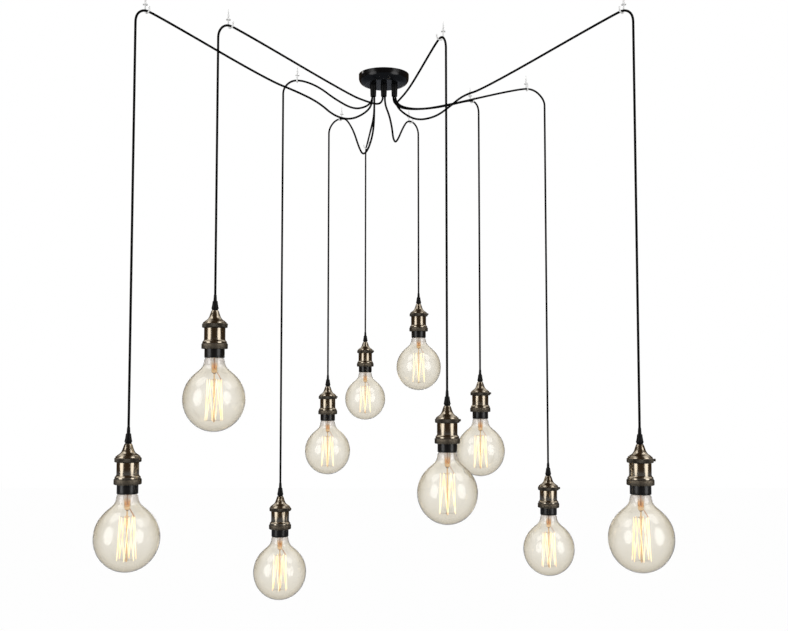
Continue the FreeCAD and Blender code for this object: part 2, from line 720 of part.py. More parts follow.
def envelope():
    """Globe and neck of thin glass, open at the neck's hidden end."""
    outer_globe, outer_neck = glass_line(0)
    inner_globe, inner_neck = glass_line(GLASS_WALL)
    top = NECK_GLASS_HIDDEN
    bottom = -bulb_length
    neck = NECK_GLASS_DIA / 2
    end = NECK_GLASS_END_DIA / 2
    edges = [
        outer_globe, outer_neck,
        line(V(neck, 0, 0), V(end, 0, CAP_START)),
        line(V(end, 0, CAP_START), V(end, 0, top)),
        line(V(end, 0, top), V(end - GLASS_WALL, 0, top)),
        line(V(end - GLASS_WALL, 0, top), V(end - GLASS_WALL, 0, CAP_START)),
        line(V(end - GLASS_WALL, 0, CAP_START), V(neck - GLASS_WALL, 0, 0)),
        inner_neck, inner_globe,
        line(V(0, 0, bottom + GLASS_WALL), V(0, 0, bottom)),
    ]
    return revolve_edges(edges)


def glass_mount():
    """Flared tube sealed in the neck, pressed flat at its end, with a rod and two beads."""
    seal = NECK_GLASS_END_DIA / 2 - GLASS_WALL - FIT
    tube_radius = STEM_TUBE_DIA / 2
    rod_radius = STEM_ROD_DIA / 2
    bead = BEAD_DIA / 2
    half = BEAD_HEIGHT / 2
    points = [(0, NECK_GLASS_HIDDEN), (seal, NECK_GLASS_HIDDEN), (seal, CAP_START),
              (tube_radius, -NECK_GLASS_HIDDEN), (tube_radius, STEM_TUBE_END),
              (rod_radius, STEM_PRESS_END)]
    for middle in (CAGE_TOP, CAGE_BOTTOM):
        points += [(rod_radius, middle + half), (bead, middle + half / 2),
                   (bead, middle - half / 2), (rod_radius, middle - half)]
    points += [(rod_radius, STEM_TIP - half), (0, STEM_TIP - half)]
    return revolve(points)


def cage_point(radius, height, angle):
    turn = math.radians(angle)
    return V(radius * math.cos(turn), radius * math.sin(turn), height)


def cage_wire():
    """Filament, its supports and its two lead wires, welded into one piece."""
    step = 360 / CAGE_STEPS
    tops = [cage_point(CAGE_TOP_RADIUS, CAGE_TOP, step * i) for i in range(1, CAGE_STEPS)]
    lows = [cage_point(CAGE_BOTTOM_RADIUS, CAGE_BOTTOM, step * (i + 1 / 2))
            for i in range(CAGE_STEPS)]
    first = cage_point(CAGE_TOP_RADIUS, CAGE_TOP, LEAD_TURN)
    last = cage_point(CAGE_TOP_RADIUS, CAGE_TOP, -LEAD_TURN)
    zigzag = [first]
    for low, top in zip(lows, tops + [last]):
        zigzag += [low, top]
    pieces = [rod(a, b, FILAMENT_DIA) for a, b in zip(zigzag, zigzag[1:])]
    pieces += [Part.makeSphere(FILAMENT_DIA / 2, point) for point in zigzag]
    inner = BEAD_DIA / 2 + FIT
    for point in tops + lows:
        outward = V(point.x, point.y, 0)
        outward.normalize()
        pieces.append(rod(V(0, 0, point.z) + outward * inner, point, SUPPORT_DIA))
    for point, side in ((first, 1), (last, -1)):
        root = V(STEM_TUBE_DIA / 2 - SUPPORT_DIA, side * SUPPORT_DIA * 2, STEM_TUBE_END - STEM_ROD_DIA)
        pieces.append(rod(root, point, SUPPORT_DIA))
    return pieces[0].fuse(pieces[1:]).removeSplitter().Solids


def bulb_cap():
    """Screw cap with rounded thread ridges, and its contact button."""
    crest = CAP_DIA / 2
    root = CAP_ROOT_DIA / 2
    points = [(CAP_NECK_BORE_DIA / 2, CAP_START), (crest, CAP_START), (crest, CAP_THREAD_START)]
    ridges = int((CAP_TOP - CAP_THREAD_START) / CAP_THREAD_PITCH)
    for ridge in range(ridges):
        height = CAP_THREAD_START + ridge * CAP_THREAD_PITCH
        points += [(root, height + CAP_THREAD_PITCH / 4), (root, height + CAP_THREAD_PITCH / 2),
                   (crest, height + CAP_THREAD_PITCH * 3 / 4), (crest, height + CAP_THREAD_PITCH)]
    points += [(BUTTON_DIA / 2 + FIT, CAP_TOP), (BUTTON_DIA / 2 + FIT, CAP_TOP - OVERRUN),
               (CAP_BORE_DIA / 2, CAP_TOP - 2 * OVERRUN),
               (CAP_BORE_DIA / 2, NECK_GLASS_HIDDEN + OVERRUN),
               (CAP_NECK_BORE_DIA / 2, NECK_GLASS_HIDDEN)]
    button = Part.makeCylinder(BUTTON_DIA / 2, BUTTON_TOP - CAP_TOP + OVERRUN,
                               V(0, 0, CAP_TOP - OVERRUN))
    return [revolve(points), button]


# The whole chandelier

def build_rose():
    export("canopy", [rose()])
    export("mounting_bracket", [strap()])
    export("canopy_screws", side_screws())
    export("cord_outlets", outlets())
    export("outlet_nuts", outlet_nuts())
    export("cord_clamps", cord_clamps())
    export("terminal_block", [terminal_block()])
    export("terminal_screws", terminal_screws())


def build_cords_and_hooks():
    export("ceiling_hooks", [hook(lamp) for lamp in LAMP_PLACES])
    export("swag_cords", [swag_cord(number, lamp, points)
                          for number, (lamp, points)
                          in enumerate(zip(LAMP_PLACES, SWAG_POINTS), start=1)])


def build_lamps():
    """Ten alike lampholders and bulbs, each moved to its own place."""
    brass = [dome_cap(), upper_ring(), shell(), lower_ring(), set_screw(), thread_sleeve(),
             centre_contact()] + holder_terminals()
    moulded = [insulator(), skirt(), cord_grip()]
    glass = [envelope(), glass_mount()]
    metal = bulb_cap() + cage_wire()
    groups = [("lampholder_brass", brass), ("lampholder_insulation", moulded),
              ("bulb_glass", glass), ("bulb_metal", metal)]
    for number, lamp in enumerate(LAMP_PLACES, start=1):
        place = hang_place(lamp)
        export("drop_cord_" + str(number), [drop_cord(lamp)])
        for name, solids in groups:
            export(name + "_" + str(number), [solid.translated(place) for solid in solids])
        pivot = pivot_place(lamp)
        print("lamp", number, "pivot", [round(value, 2) for value in pivot],
              "skirt", [round(value, 2) for value in place])


os.makedirs("parts", exist_ok=True)
build_rose()
build_cords_and_hooks()
build_lamps()
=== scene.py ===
"""Looks of the spider chandelier: ten lamps on cords that swag from one rose to ten hooks.

Metres, +Z up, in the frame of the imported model. The viewer stands at -Y.
"""

from collections import namedtuple
import math

import bmesh
import bpy
from mathutils import Matrix, Vector


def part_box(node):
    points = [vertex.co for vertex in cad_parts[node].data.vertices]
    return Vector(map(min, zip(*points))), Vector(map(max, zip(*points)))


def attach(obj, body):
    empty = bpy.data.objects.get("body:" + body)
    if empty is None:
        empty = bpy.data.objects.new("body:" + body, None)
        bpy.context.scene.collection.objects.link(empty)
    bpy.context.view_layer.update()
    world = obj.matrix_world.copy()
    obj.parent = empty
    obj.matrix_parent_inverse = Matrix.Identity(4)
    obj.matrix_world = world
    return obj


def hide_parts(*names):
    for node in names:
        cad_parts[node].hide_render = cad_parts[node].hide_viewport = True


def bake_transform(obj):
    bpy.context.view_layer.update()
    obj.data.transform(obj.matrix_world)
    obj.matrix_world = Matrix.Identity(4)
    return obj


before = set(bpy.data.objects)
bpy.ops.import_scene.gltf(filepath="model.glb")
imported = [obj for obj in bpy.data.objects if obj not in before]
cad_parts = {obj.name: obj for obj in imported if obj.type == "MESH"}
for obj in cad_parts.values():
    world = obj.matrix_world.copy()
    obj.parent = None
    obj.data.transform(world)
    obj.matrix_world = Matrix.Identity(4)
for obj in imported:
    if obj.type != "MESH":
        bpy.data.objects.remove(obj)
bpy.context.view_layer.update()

# Camera: a level view from below the middle of the lamps
CAMERA_PLACE = (0.025, -2.42, -0.75)
CAMERA_PITCH = 93.69
FOCAL_PIXELS = 1000
IMAGE_WIDTH = 788
SENSOR_WIDTH = 36
VIEW_REACH = 50

# Studio: the point that the soft boxes face, and the floor
LIGHT_AIM = (0, 0, -0.7)
FLOOR_HALF_WIDTH = 14
FLOOR_HEIGHT = -2.5

# Soft boxes that stand in pairs: place to the side, front to back and up, width, height, power
SOFT_BOXES = {
    "soft_box": (3.5, -2.8, -0.35, 2.6, 3.6, 60),
    "top_box": (2.1, -0.9, 1.6, 1.6, 1.9, 15),
}

# Where mirrors see the overhead panels and the middle of the backdrop, as parts of a heading
PANEL_LOW_EDGE = (0.38, 0.52)
PANEL_HIGH_EDGE = (0.76, 0.90)
PANEL_FRONT_EDGE = (-0.10, 0.15)
PANEL_BACK_EDGE = (0.78, 0.92)
PANEL_INNER_EDGE = (0.14, 0.28)
BACKDROP_EDGE = (0.980, 0.996)

# Cord
CORD_DIA = 0.0048
CORD_SIDES_LEVEL = 6
CORD_STEPS_PER_RUN = 24
CORD_START_HEIGHT = -0.026
CORD_LEAVES_HOOK = 6 * CORD_DIA
CORD_BELOW_CEILING = 0.016
BUNDLE_STEP = 0.0026
OUTLET_PITCH = 0.026
CORD_GUIDE_HEIGHT = -0.043
HOOK_SPREAD = 0.7
HOOK_BEND = 0.027

# Lampholder, from the lower edge of its skirt upwards
SKIRT_DIA = 0.0405
SKIRT_HEIGHT = 0.020
SKIRT_WALL = 0.0015
SKIRT_GROOVE_HEIGHT = 0.0030
SKIRT_GROOVE_DEPTH = 0.0003
LOWER_RING_DIA = 0.0525
LOWER_RING_BASE = 0.0178
LOWER_RING_BAND_TOP = 0.0272
LOWER_RING_COLLAR_BASE = 0.0293
LOWER_RING_COLLAR_TOP = 0.0320
LOWER_RING_TOP = 0.0365
COLLAR_INSET = 0.0018
FLARE_INSET = 0.0007
FLARE_RISE = 0.0008
FLARE_SAG = 0.0006
SHELL_DIA = 0.0424
SHELL_WALL = 0.001
UPPER_RING_DIA = 0.0508
UPPER_RING_BASE = 0.0603
UPPER_RING_BAND_TOP = 0.0686
UPPER_RING_STEP = 0.0020
UPPER_RING_SLOPE = 0.0008
UPPER_RING_HOLLOW = 0.0006
UPPER_RING_LIP = 0.0007
UPPER_RING_TOP = 0.0717
CAP_WALL_TOP = 0.0718
NECK_TOP = 0.095
NECK_BORE_DIA = 0.009
GRIP_TOP = 0.1145
GRIP_TOP_DIA = 0.0095
GRIP_WIDE_DIA = 0.0148
GRIP_FOOT_DIA = 0.0115
GRIP_BELLY = 0.0022
GRIP_BELLY_HEIGHT = 0.0048
GRIP_CONE_START = 0.0068
GRIP_CONE_INSET = 0.0006
GRIP_CONE_SAG = 0.0002
GRIP_TOP_ROUND = 0.0008
GRIP_RIBS = 15
GRIP_RIB_DEPTH = 0.0004
GRIP_RIB_START = 0.0015
GRIP_RIB_END = 0.0070
GRIP_FIT = 0.0002
GRIP_STUB = 0.009
GRIP_SLEEVE = 0.012
GRIP_SLEEVE_DIA = 0.0068
SET_SCREW_DIA = 0.0054
SET_SCREW_LENGTH = 0.004
SET_SCREW_SHANK_END = 0.0009
SET_SCREW_HEAD_START = 0.0011
SET_SCREW_CHAMFER = 0.0004
SET_SCREW_TEETH = 12
SET_SCREW_TOOTH_DEPTH = 0.0004
SET_SCREW_ANGLE = math.radians(-22)
INSULATOR_START = 0.012
INSULATOR_SHOULDER = 0.024
INSULATOR_TOP = 0.050
SLEEVE_START = 0.0125
SLEEVE_LENGTH = 0.021
SLEEVE_BORE_DIA = 0.0271
SLEEVE_WALL = 0.0004
CONTACT_DIA = 0.011
CONTACT_BASE = 0.03435
CONTACT_HEIGHT = 0.0027
CONTACT_EDGE = 0.0004
TERMINAL_OUT = 0.0095
TERMINAL_DIA = 0.0064
TERMINAL_HEIGHT = 0.0025
TERMINAL_EDGE = 0.0005
FIT = 0.0001

# Small edges, teeth and the faces round the axis of turned pieces
SMALL_EDGE = 0.0003
RING_CHAMFER = 0.0010
RING_TEETH = 72
TOOTH_DEPTH = 0.0005
TEETH_INSET = 0.0008
TOOTHED_FACES = 4 * RING_TEETH
PLAIN_FACES = 96
INNER_FACES = 64
STEM_FACES = 40
SMALL_FACES = 32
WIRE_SIDES = 8
LEAD_SIDES = 10
SHARP_ANGLE = math.radians(40)

# Rounded edges, as steps outwards and upwards from the corner that they round
SKIRT_MOUTH = [(-0.0009, 0), (-0.0002, 0.0005), (0, 0.0012)]
LOWER_RING_FOOT = [(-0.0012, 0), (-0.0003, 0.0006), (0, 0.0014)]
LOWER_RING_SHOULDER = [(0, 0), (-0.0004, 0.0006)]
STEM_SHOULDER = [(0, 0), (-0.0008, -0.0030)]
ROD_SHOULDER = [(0.0006, 0.001), (0, 0)]

# Rounded floor in the tube of the glass mount, as shares of its bore and heights above its end
STEM_FLOOR = [(0, 0.001), (0.7, 0.002), (1, 0.005)]

# Bulb, from the same level
GLOBE_DIA = 0.125
GLOBE_HEIGHT = 0.1295
GLOBE_END = -0.148
SHOULDER_LEAN = 46.9
GLASS_WALL = 0.0008
NECK_GLASS_END_DIA = 0.0246
NECK_GLASS_TOP = 0.012
CAP_DIA = 0.0264
CAP_ROOT_DIA = 0.0243
CAP_BORE_DIA = 0.0232
CAP_START = 0.006
CAP_LIP = 0.0005
CAP_LIP_HEIGHT = 0.0004
CAP_THREAD_START = 0.010
THREAD_STEPS = 8
CAP_PITCH = 0.0036
CAP_TOP = 0.032
CAP_SLOPE = 0.0015
CAP_SLOPE_DROP = 0.0006
CAP_ROOF = 0.001
BUTTON_DIA = 0.009
BUTTON_TOP = 0.034
BUTTON_RIM = 0.0006
BUTTON_EDGE = 0.0003
STEM_DIA = 0.012
STEM_FLARE_END = -0.019
STEM_FLARE_SAG = 0.0012
STEM_END = -0.026
STEM_PRESS_END = -0.033
STEM_ROD_DIA = 0.0032
STEM_TIP = -0.129
STEM_TIP_ROUND = 0.001
BEAD_DIA = 0.0064
BEAD_HEIGHT = 0.004
CAGE_TOP = -0.044
CAGE_BOTTOM = -0.125
CAGE_TOP_RADIUS = 0.014
CAGE_BOTTOM_RADIUS = 0.0185
CAGE_STEPS = 6
FILAMENT_DIA = 0.0013
SUPPORT_DIA = 0.0007
WIRE_SUNK = 0.0006
LEAD_DIA = 0.0012
LEAD_TURN = math.radians(9)
LEAD_ABOVE_PRESS = 0.004

# Outline of the lampholder's cap above its wall, and of the bulb's shoulder and neck, as
# radius and height, both read from the close-ups of three lamps
CAP_OUTLINE = [(0.0211, 0.0724), (0.0203, 0.0735), (0.0190, 0.0744), (0.0172, 0.0755),
               (0.0150, 0.0772), (0.0133, 0.0793), (0.0119, 0.0817), (0.0108, 0.0843),
               (0.0099, 0.0870), (0.0090, 0.0898), (0.0080, 0.0925), (0.0073, 0.0942),
               (0.0069, 0.0950)]
SHOULDER_OUTLINE = [(0.0389, -0.0322), (0.0344, -0.0284), (0.0299, -0.0246), (0.0261, -0.0208),
                    (0.0234, -0.0169), (0.0217, -0.0128), (0.0209, -0.0090), (0.0204, -0.0055),
                    (0.0195, -0.0028), (0.0176, 0.0)]

# Each lamp: its outlet (-1 left, 0 middle, 1 right), its seat in the cord bundle, the share of
# HOOK_SPREAD that places its hook, the share of HOOK_BEND from hook to hanging cord, and the
# whole length of its cord.
Lamp = namedtuple("Lamp", "outlet seat hook step length")
LAMPS = [
    Lamp(-1, (-1, -1), (-0.667, -0.671), (-0.67, -0.70), 1.65),
    Lamp(0, (-1, 0), (-0.449, -0.550), (-0.78, -0.96), 1.21),
    Lamp(-1, (-1, 1), (-0.304, -0.009), (-1.26, -0.04), 1.34),
    Lamp(-1, (1, -1), (-0.181, 0.510), (-1.22, 0.78), 1.38),
    Lamp(-1, (1, 1), (-0.089, 0.994), (-0.11, 1.04), 1.46),
    Lamp(0, (1, 0), (0.104, 0.549), (0.81, 0.89), 1.11),
    Lamp(1, (-1, -1), (0.177, -0.446), (0.41, -1.15), 1.24),
    Lamp(1, (-1, 1), (0.330, 0.249), (0.68, 0.60), 1.13),
    Lamp(1, (1, 1), (0.516, 0.093), (1.67, 0.30), 1.44),
    Lamp(1, (1, -1), (0.684, -0.671), (0.67, -0.70), 1.66),
]

# Route of each cord between its outlet and its hook
SWAG_POINTS = [
    [(-0.0286, -0.0026, -0.076), (-0.046, -0.020, -0.102), (-0.080, -0.058, -0.128),
     (-0.116, -0.098, -0.129), (-0.150, -0.136, -0.107), (-0.196, -0.182, -0.095),
     (-0.256, -0.247, -0.087)],
    [(-0.0026, 0, -0.065), (-0.014, -0.014, -0.0785), (-0.041, -0.047, -0.080),
     (-0.081, -0.096, -0.077)],
    [(-0.0286, 0.0026, -0.065), (-0.044, 0.002, -0.080), (-0.075, 0, -0.086),
     (-0.119, -0.002, -0.062), (-0.160, -0.004, -0.031)],
    [(-0.0234, -0.0026, -0.115), (-0.028, 0.012, -0.150), (-0.040, 0.042, -0.178),
     (-0.054, 0.088, -0.180), (-0.066, 0.140, -0.148), (-0.082, 0.218, -0.088),
     (-0.099, 0.300, -0.042)],
    [(-0.0234, 0.0026, -0.086), (-0.026, 0.018, -0.106), (-0.031, 0.058, -0.113)],
    [(0.0026, 0, -0.074), (0.013, 0.007, -0.098), (0.020, 0.020, -0.126),
     (0.023, 0.050, -0.149), (0.031, 0.098, -0.147), (0.050, 0.250, -0.066)],
    [(0.0234, -0.0026, -0.065), (0.0285, -0.020, -0.0785), (0.039, -0.052, -0.076),
     (0.056, -0.101, -0.070), (0.074, -0.160, -0.058)],
    [(0.0234, 0.0026, -0.0635), (0.034, 0.012, -0.0765), (0.062, 0.034, -0.077),
     (0.105, 0.063, -0.068), (0.154, 0.104, -0.050)],
    [(0.0286, 0.0026, -0.064), (0.043, 0.005, -0.079), (0.084, 0.011, -0.0835),
     (0.140, 0.022, -0.0735)],
    [(0.0286, -0.0026, -0.075), (0.048, -0.023, -0.103), (0.081, -0.057, -0.129),
     (0.122, -0.100, -0.132), (0.152, -0.131, -0.118), (0.183, -0.162, -0.098),
     (0.226, -0.208, -0.097)],
]

# What a lamp's pieces ride on, their slot and the node that they stand for; the lamp's number
# follows the first and the last
HOLDER_BRASS = ("pendant_", "aged_brass", "lampholder_brass_")
HOLDER_BLACK = ("pendant_", "black_moulding", "lampholder_insulation_")
BULB_GLASS = ("bulb_", "amber_glass", "bulb_glass_")
BULB_METAL = ("bulb_", "bulb_metal", "bulb_metal_")


# Shader maths

class Number:
    """A socket that adds Math nodes to its tree when it is used in a sum."""

    def __init__(self, nodes, socket):
        self.nodes = nodes
        self.socket = socket

    def __add__(self, other):
        return self.nodes.math("ADD", self, other)

    def __radd__(self, other):
        return self.nodes.math("ADD", other, self)

    def __sub__(self, other):
        return self.nodes.math("SUBTRACT", self, other)

    def __rsub__(self, other):
        return self.nodes.math("SUBTRACT", other, self)

    def __mul__(self, other):
        return self.nodes.math("MULTIPLY", self, other)

    def __rmul__(self, other):
        return self.nodes.math("MULTIPLY", other, self)


class Nodes:
    """A node tree with one way to add a node to it."""

    def __init__(self, tree):
        self.tree = tree
        tree.nodes.clear()

    def add(self, kind, settings, inputs, output=0):
        """One node with its settings and then its sockets; gives the output asked for."""
        node = self.tree.nodes.new(kind)
        for name, value in settings.items():
            setattr(node, name, value)
        for name, value in inputs.items():
            if isinstance(value, Number):
                self.tree.links.new(value.socket, node.inputs[name])
            else:
                node.inputs[name].default_value = value
        return Number(self, node.outputs[output]) if node.outputs else node

    def math(self, operation, a, b=0.0):
        return self.add("ShaderNodeMath", {"operation": operation}, {0: a, 1: b})

    def sine(self, angle):
        return self.math("SINE", angle)

    def smooth(self, value, low, high):
        """0 below low, 1 above high and smooth in between."""
        return self.add("ShaderNodeMapRange", {"interpolation_type": "SMOOTHSTEP"},
                        {"Value": value, "From Min": low, "From Max": high})

    def blend(self, share, a, b):
        """Colour a where share is 0 and colour b where it is 1."""
        settings = {"data_type": "RGBA"}
        return self.add("ShaderNodeMix", settings, {0: share, 6: a, 7: b}, output=2)

    def ray(self, kind):
        """1 for the rays of one kind, such as "Is Camera Ray", and 0 for the others."""
        return self.add("ShaderNodeLightPath", {}, {}, output=kind)

    def part(self, vector, axis):
        """One part of a vector: X, Y or Z."""
        return self.add("ShaderNodeSeparateXYZ", {}, {"Vector": vector}, output=axis)

    def place(self):
        """Object coordinates of the point."""
        return self.add("ShaderNodeTexCoord", {}, {}, output="Object")

    def stretched(self, scale):
        """Object coordinates with a scale for each axis."""
        return self.add("ShaderNodeMapping", {}, {"Vector": self.place(), "Scale": scale})

    def noise(self, vector, scale, detail=3.0, roughness=0.5):
        return self.add("ShaderNodeTexNoise", {}, {"Vector": vector, "Scale": scale,
                                                   "Detail": detail, "Roughness": roughness})

    def wear(self):
        """How far a point lies on an exposed edge, from 0 to 1."""
        return self.add("ShaderNodeAttribute", {"attribute_name": "wear"}, {}, output="Fac")

    def depth(self):
        """How far down the bulb a point lies, from 0 at the lampholder to 1."""
        return self.add("ShaderNodeAttribute", {"attribute_name": "depth"}, {}, output="Fac")

    def bump(self, height, strength, distance):
        return self.add("ShaderNodeBump", {}, {"Height": height, "Strength": strength,
                                               "Distance": distance})


def rgb(red, green, blue):
    return (red, green, blue, 1.0)


def finish(name, build):
    """A material whose Principled sockets are what build gives for its nodes."""
    material = bpy.data.materials.new(name)
    material.use_nodes = True
    nodes = Nodes(material.node_tree)
    shader = nodes.add("ShaderNodeBsdfPrincipled", {}, build(nodes))
    nodes.add("ShaderNodeOutputMaterial", {}, {"Surface": shader})
    return material


# Finishes

def aged_brass(nodes):
    """Turned brass under a thin brown patina, bright where hands and edges rub."""
    rings = nodes.noise(nodes.stretched((6, 6, 700)), 1.0, 2.0)
    cloud = nodes.noise(nodes.place(), 60.0)
    patina = nodes.smooth(cloud, 0.45, 0.85) * 0.35 * (1 - nodes.wear())
    return {
        "Base Color": nodes.blend(patina, rgb(0.40, 0.348, 0.272), rgb(0.24, 0.165, 0.09)),
        "Metallic": 1.0,
        "Roughness": 0.18 + 0.04 * rings + 0.10 * patina,
        "Normal": nodes.bump(rings, 0.012, 0.0001),
    }


def dark_bronze(nodes):
    """Knurled rings: dark patina, with brass showing on the crests."""
    cloud = nodes.noise(nodes.place(), 160.0, 4.0, 0.6)
    rub = nodes.smooth(nodes.wear() + 0.5 * cloud, 0.60, 1.20)
    return {
        "Base Color": nodes.blend(rub, rgb(0.095, 0.084, 0.068), rgb(0.19, 0.16, 0.12)),
        "Metallic": 1.0,
        "Roughness": 0.50 - 0.14 * rub + 0.1 * cloud,
        "Normal": nodes.bump(cloud, 0.15, 0.0002),
    }


def black_moulding(nodes):
    """Phenolic moulding with faint flow marks."""
    flow = nodes.noise(nodes.stretched((30, 30, 8)), 6.0, 4.0, 0.65)
    grain = nodes.noise(nodes.place(), 1800.0, 2.0)
    shade = nodes.smooth(flow, 0.3, 0.75)
    return {
        "Base Color": nodes.blend(shade, rgb(0.004, 0.004, 0.0045), rgb(0.009, 0.0085, 0.008)),
        "Roughness": 0.24 + 0.10 * flow,
        "Normal": nodes.bump(grain, 0.05, 0.0001),
    }


def black_rubber(nodes):
    """Soft moulded cone, a little dusty."""
    grain = nodes.noise(nodes.place(), 1400.0, 3.0)
    dust = nodes.smooth(nodes.noise(nodes.place(), 150.0, 4.0), 0.45, 0.8)
    return {
        "Base Color": nodes.blend(dust, rgb(0.003, 0.003, 0.003), rgb(0.008, 0.0078, 0.0075)),
        "Specular IOR Level": 0.22,
        "Roughness": 0.50 + 0.12 * dust,
        "Normal": nodes.bump(grain, 0.15, 0.0002),
    }


def woven_cord(nodes):
    """Braided textile sleeve: crossing yarns that follow the cord."""
    weave = nodes.add("ShaderNodeUVMap", {"uv_map": "lay"}, {})
    around = nodes.part(weave, "X") * 12
    along = nodes.part(weave, "Y") * 3
    right = nodes.sine((around + along) * math.pi)
    left = nodes.sine((around - along) * math.pi)
    yarn = nodes.math("ABSOLUTE", right * left)
    fuzz = nodes.noise(nodes.place(), 2600.0, 2.0)
    shade = yarn * 0.7 + fuzz * 0.3
    return {
        "Base Color": nodes.blend(shade, rgb(0.001, 0.001, 0.001), rgb(0.009, 0.009, 0.009)),
        "Roughness": 0.72 + 0.2 * fuzz,
        "Specular IOR Level": 0.03,
        "Normal": nodes.bump(shade, 0.3, 0.0003),
    }


def black_enamel(nodes):
    """Stoved gloss enamel with a trace of orange peel."""
    peel = nodes.noise(nodes.place(), 180.0, 2.0)
    haze = nodes.noise(nodes.place(), 30.0, 3.0)
    return {
        "Base Color": nodes.blend(haze, rgb(0.002, 0.0022, 0.0026), rgb(0.004, 0.0045, 0.006)),
        "Specular IOR Level": 0.36,
        "Roughness": 0.14 + 0.12 * haze,
        "Normal": nodes.bump(peel, 0.01, 0.0003),
    }


def amber_glass(nodes):
    """Thin blown glass of champagne colour, with painted shade: darker where it turns away from the
    view and towards its foot.
    """
    turn = nodes.add("ShaderNodeLayerWeight", {}, {"Blend": 0.35}, output="Facing")
    seed = nodes.noise(nodes.stretched((1, 1, 0.35)), 26.0, 2.0)
    # Painted shade: darker glass colour where the surface turns away from the view, standing in for
    # a dark rim
    rim_shade = nodes.smooth(turn, 0.02, 0.62)
    # Painted shade: darker glass colour towards the foot of the globe
    foot = nodes.smooth(nodes.depth() + 0.15 * seed, 0.45, 1.15) * 0.5
    painted_shade = nodes.math("MAXIMUM", rim_shade, foot)
    # Each pair: the clear colour, then the darker colour of the painted shade
    globe = nodes.blend(painted_shade, rgb(0.955, 0.935, 0.885), rgb(0.79, 0.74, 0.635))
    neck = nodes.blend(painted_shade, rgb(0.86, 0.83, 0.80), rgb(0.68, 0.655, 0.62))
    return {
        "Base Color": nodes.blend(nodes.smooth(nodes.depth(), 0.05, 0.17), neck, globe),
        "Roughness": 0.0,
        "IOR": 1.15,
        "Transmission Weight": 1.0,
        "Coat Weight": 0.85,
        "Coat Roughness": 0.17,
        "Coat IOR": 1.9,
        "Normal": nodes.bump(seed, 0.05, 0.002),
    }


def clear_glass(nodes):
    """Lead glass of the mount, with drawn streaks, tan from the middle of its flare downwards as a
    painted reflection of the copper leads.
    """
    streak = nodes.noise(nodes.stretched((240, 240, 12)), 1.0, 2.0)
    # Painted reflection: tan colour on the mount below the middle of its flare, standing in for the
    # copper leads seen there
    copper_reflection = nodes.smooth(nodes.depth() + 0.04 * streak, 0.06, 0.15)
    return {
        "Base Color": nodes.blend(copper_reflection, rgb(0.90, 0.88, 0.85), rgb(0.93, 0.66, 0.39)),
        "Roughness": 0.02,
        "IOR": 1.5,
        "Transmission Weight": 1.0,
        "Normal": nodes.bump(streak, 0.1, 0.0005),
    }


def glowing_filament(nodes):
    """Filament at a warm white heat."""
    heat = nodes.noise(nodes.stretched((40, 40, 40)), 1.0, 2.0)
    return {
        "Base Color": rgb(0.9, 0.7, 0.45),
        "Roughness": 0.6,
        "Emission Color": nodes.blend(nodes.smooth(heat, 0.35, 0.6), rgb(0.95, 0.60, 0.26),
                                      rgb(1.0, 0.93, 0.62)),
        "Emission Strength": 1.3,
    }


def plated(base, dull, low_roughness):
    """Maker of a plated metal with soft stains and fine scratches."""
    def build(nodes):
        stain = nodes.smooth(nodes.noise(nodes.place(), 120.0, 4.0, 0.6), 0.4, 0.8)
        scratch = nodes.noise(nodes.stretched((900, 60, 60)), 1.0, 2.0)
        return {
            "Base Color": nodes.blend(stain, base, dull),
            "Metallic": 1.0,
            "Roughness": low_roughness + 0.16 * scratch + 0.12 * stain,
            "Normal": nodes.bump(scratch, 0.06, 0.0001),
        }
    return build


def moulded(base, shade, low_roughness):
    """Maker of a plain moulded or painted surface with soft mottling and fine grain."""
    def build(nodes):
        mottle = nodes.noise(nodes.place(), 70.0, 4.0, 0.6)
        grain = nodes.noise(nodes.place(), 1500.0, 2.0)
        return {
            "Base Color": nodes.blend(mottle, base, shade),
            "Roughness": low_roughness + 0.15 * mottle,
            "Normal": nodes.bump(grain, 0.06, 0.0001),
        }
    return build


def make_finishes():
    """Every finish by its name."""
    makers = {
        "aged_brass": aged_brass,
        "dark_bronze": dark_bronze,
        "black_moulding": black_moulding,
        "black_rubber": black_rubber,
        "woven_cord": woven_cord,
        "black_enamel": black_enamel,
        "amber_glass": amber_glass,
        "clear_glass": clear_glass,
        "glowing_filament": glowing_filament,
        "nickel": plated(rgb(0.62, 0.60, 0.56), rgb(0.40, 0.37, 0.33), 0.22),
        "copper": plated(rgb(0.78, 0.45, 0.26), rgb(0.45, 0.24, 0.14), 0.30),
        "zinc": plated(rgb(0.62, 0.63, 0.64), rgb(0.44, 0.45, 0.47), 0.34),
        "bright_steel": plated(rgb(0.72, 0.72, 0.71), rgb(0.50, 0.49, 0.48), 0.20),
        "plain_brass": plated(rgb(0.78, 0.62, 0.34), rgb(0.48, 0.35, 0.18), 0.26),
        "white_enamel": moulded(rgb(0.93, 0.93, 0.925), rgb(0.88, 0.88, 0.875), 0.28),
        "white_nylon": moulded(rgb(0.80, 0.79, 0.75), rgb(0.70, 0.69, 0.65), 0.45),
        "terminal_plastic": moulded(rgb(0.62, 0.60, 0.54), rgb(0.52, 0.50, 0.45), 0.40),
    }
    made = {name: finish(name, build) for name, build in makers.items()}
    made["glowing_filament"].cycles.emission_sampling = "NONE"
    return made


# Camera, light and floor

def make_camera():
    data = bpy.data.cameras.new("camera")
    data.sensor_width = SENSOR_WIDTH
    data.lens = FOCAL_PIXELS * SENSOR_WIDTH / IMAGE_WIDTH
    data.clip_end = VIEW_REACH
    camera = bpy.data.objects.new("camera", data)
    camera.location = CAMERA_PLACE
    camera.rotation_euler = (math.radians(CAMERA_PITCH), 0, 0)
    bpy.context.scene.collection.objects.link(camera)
    bpy.context.scene.camera = camera


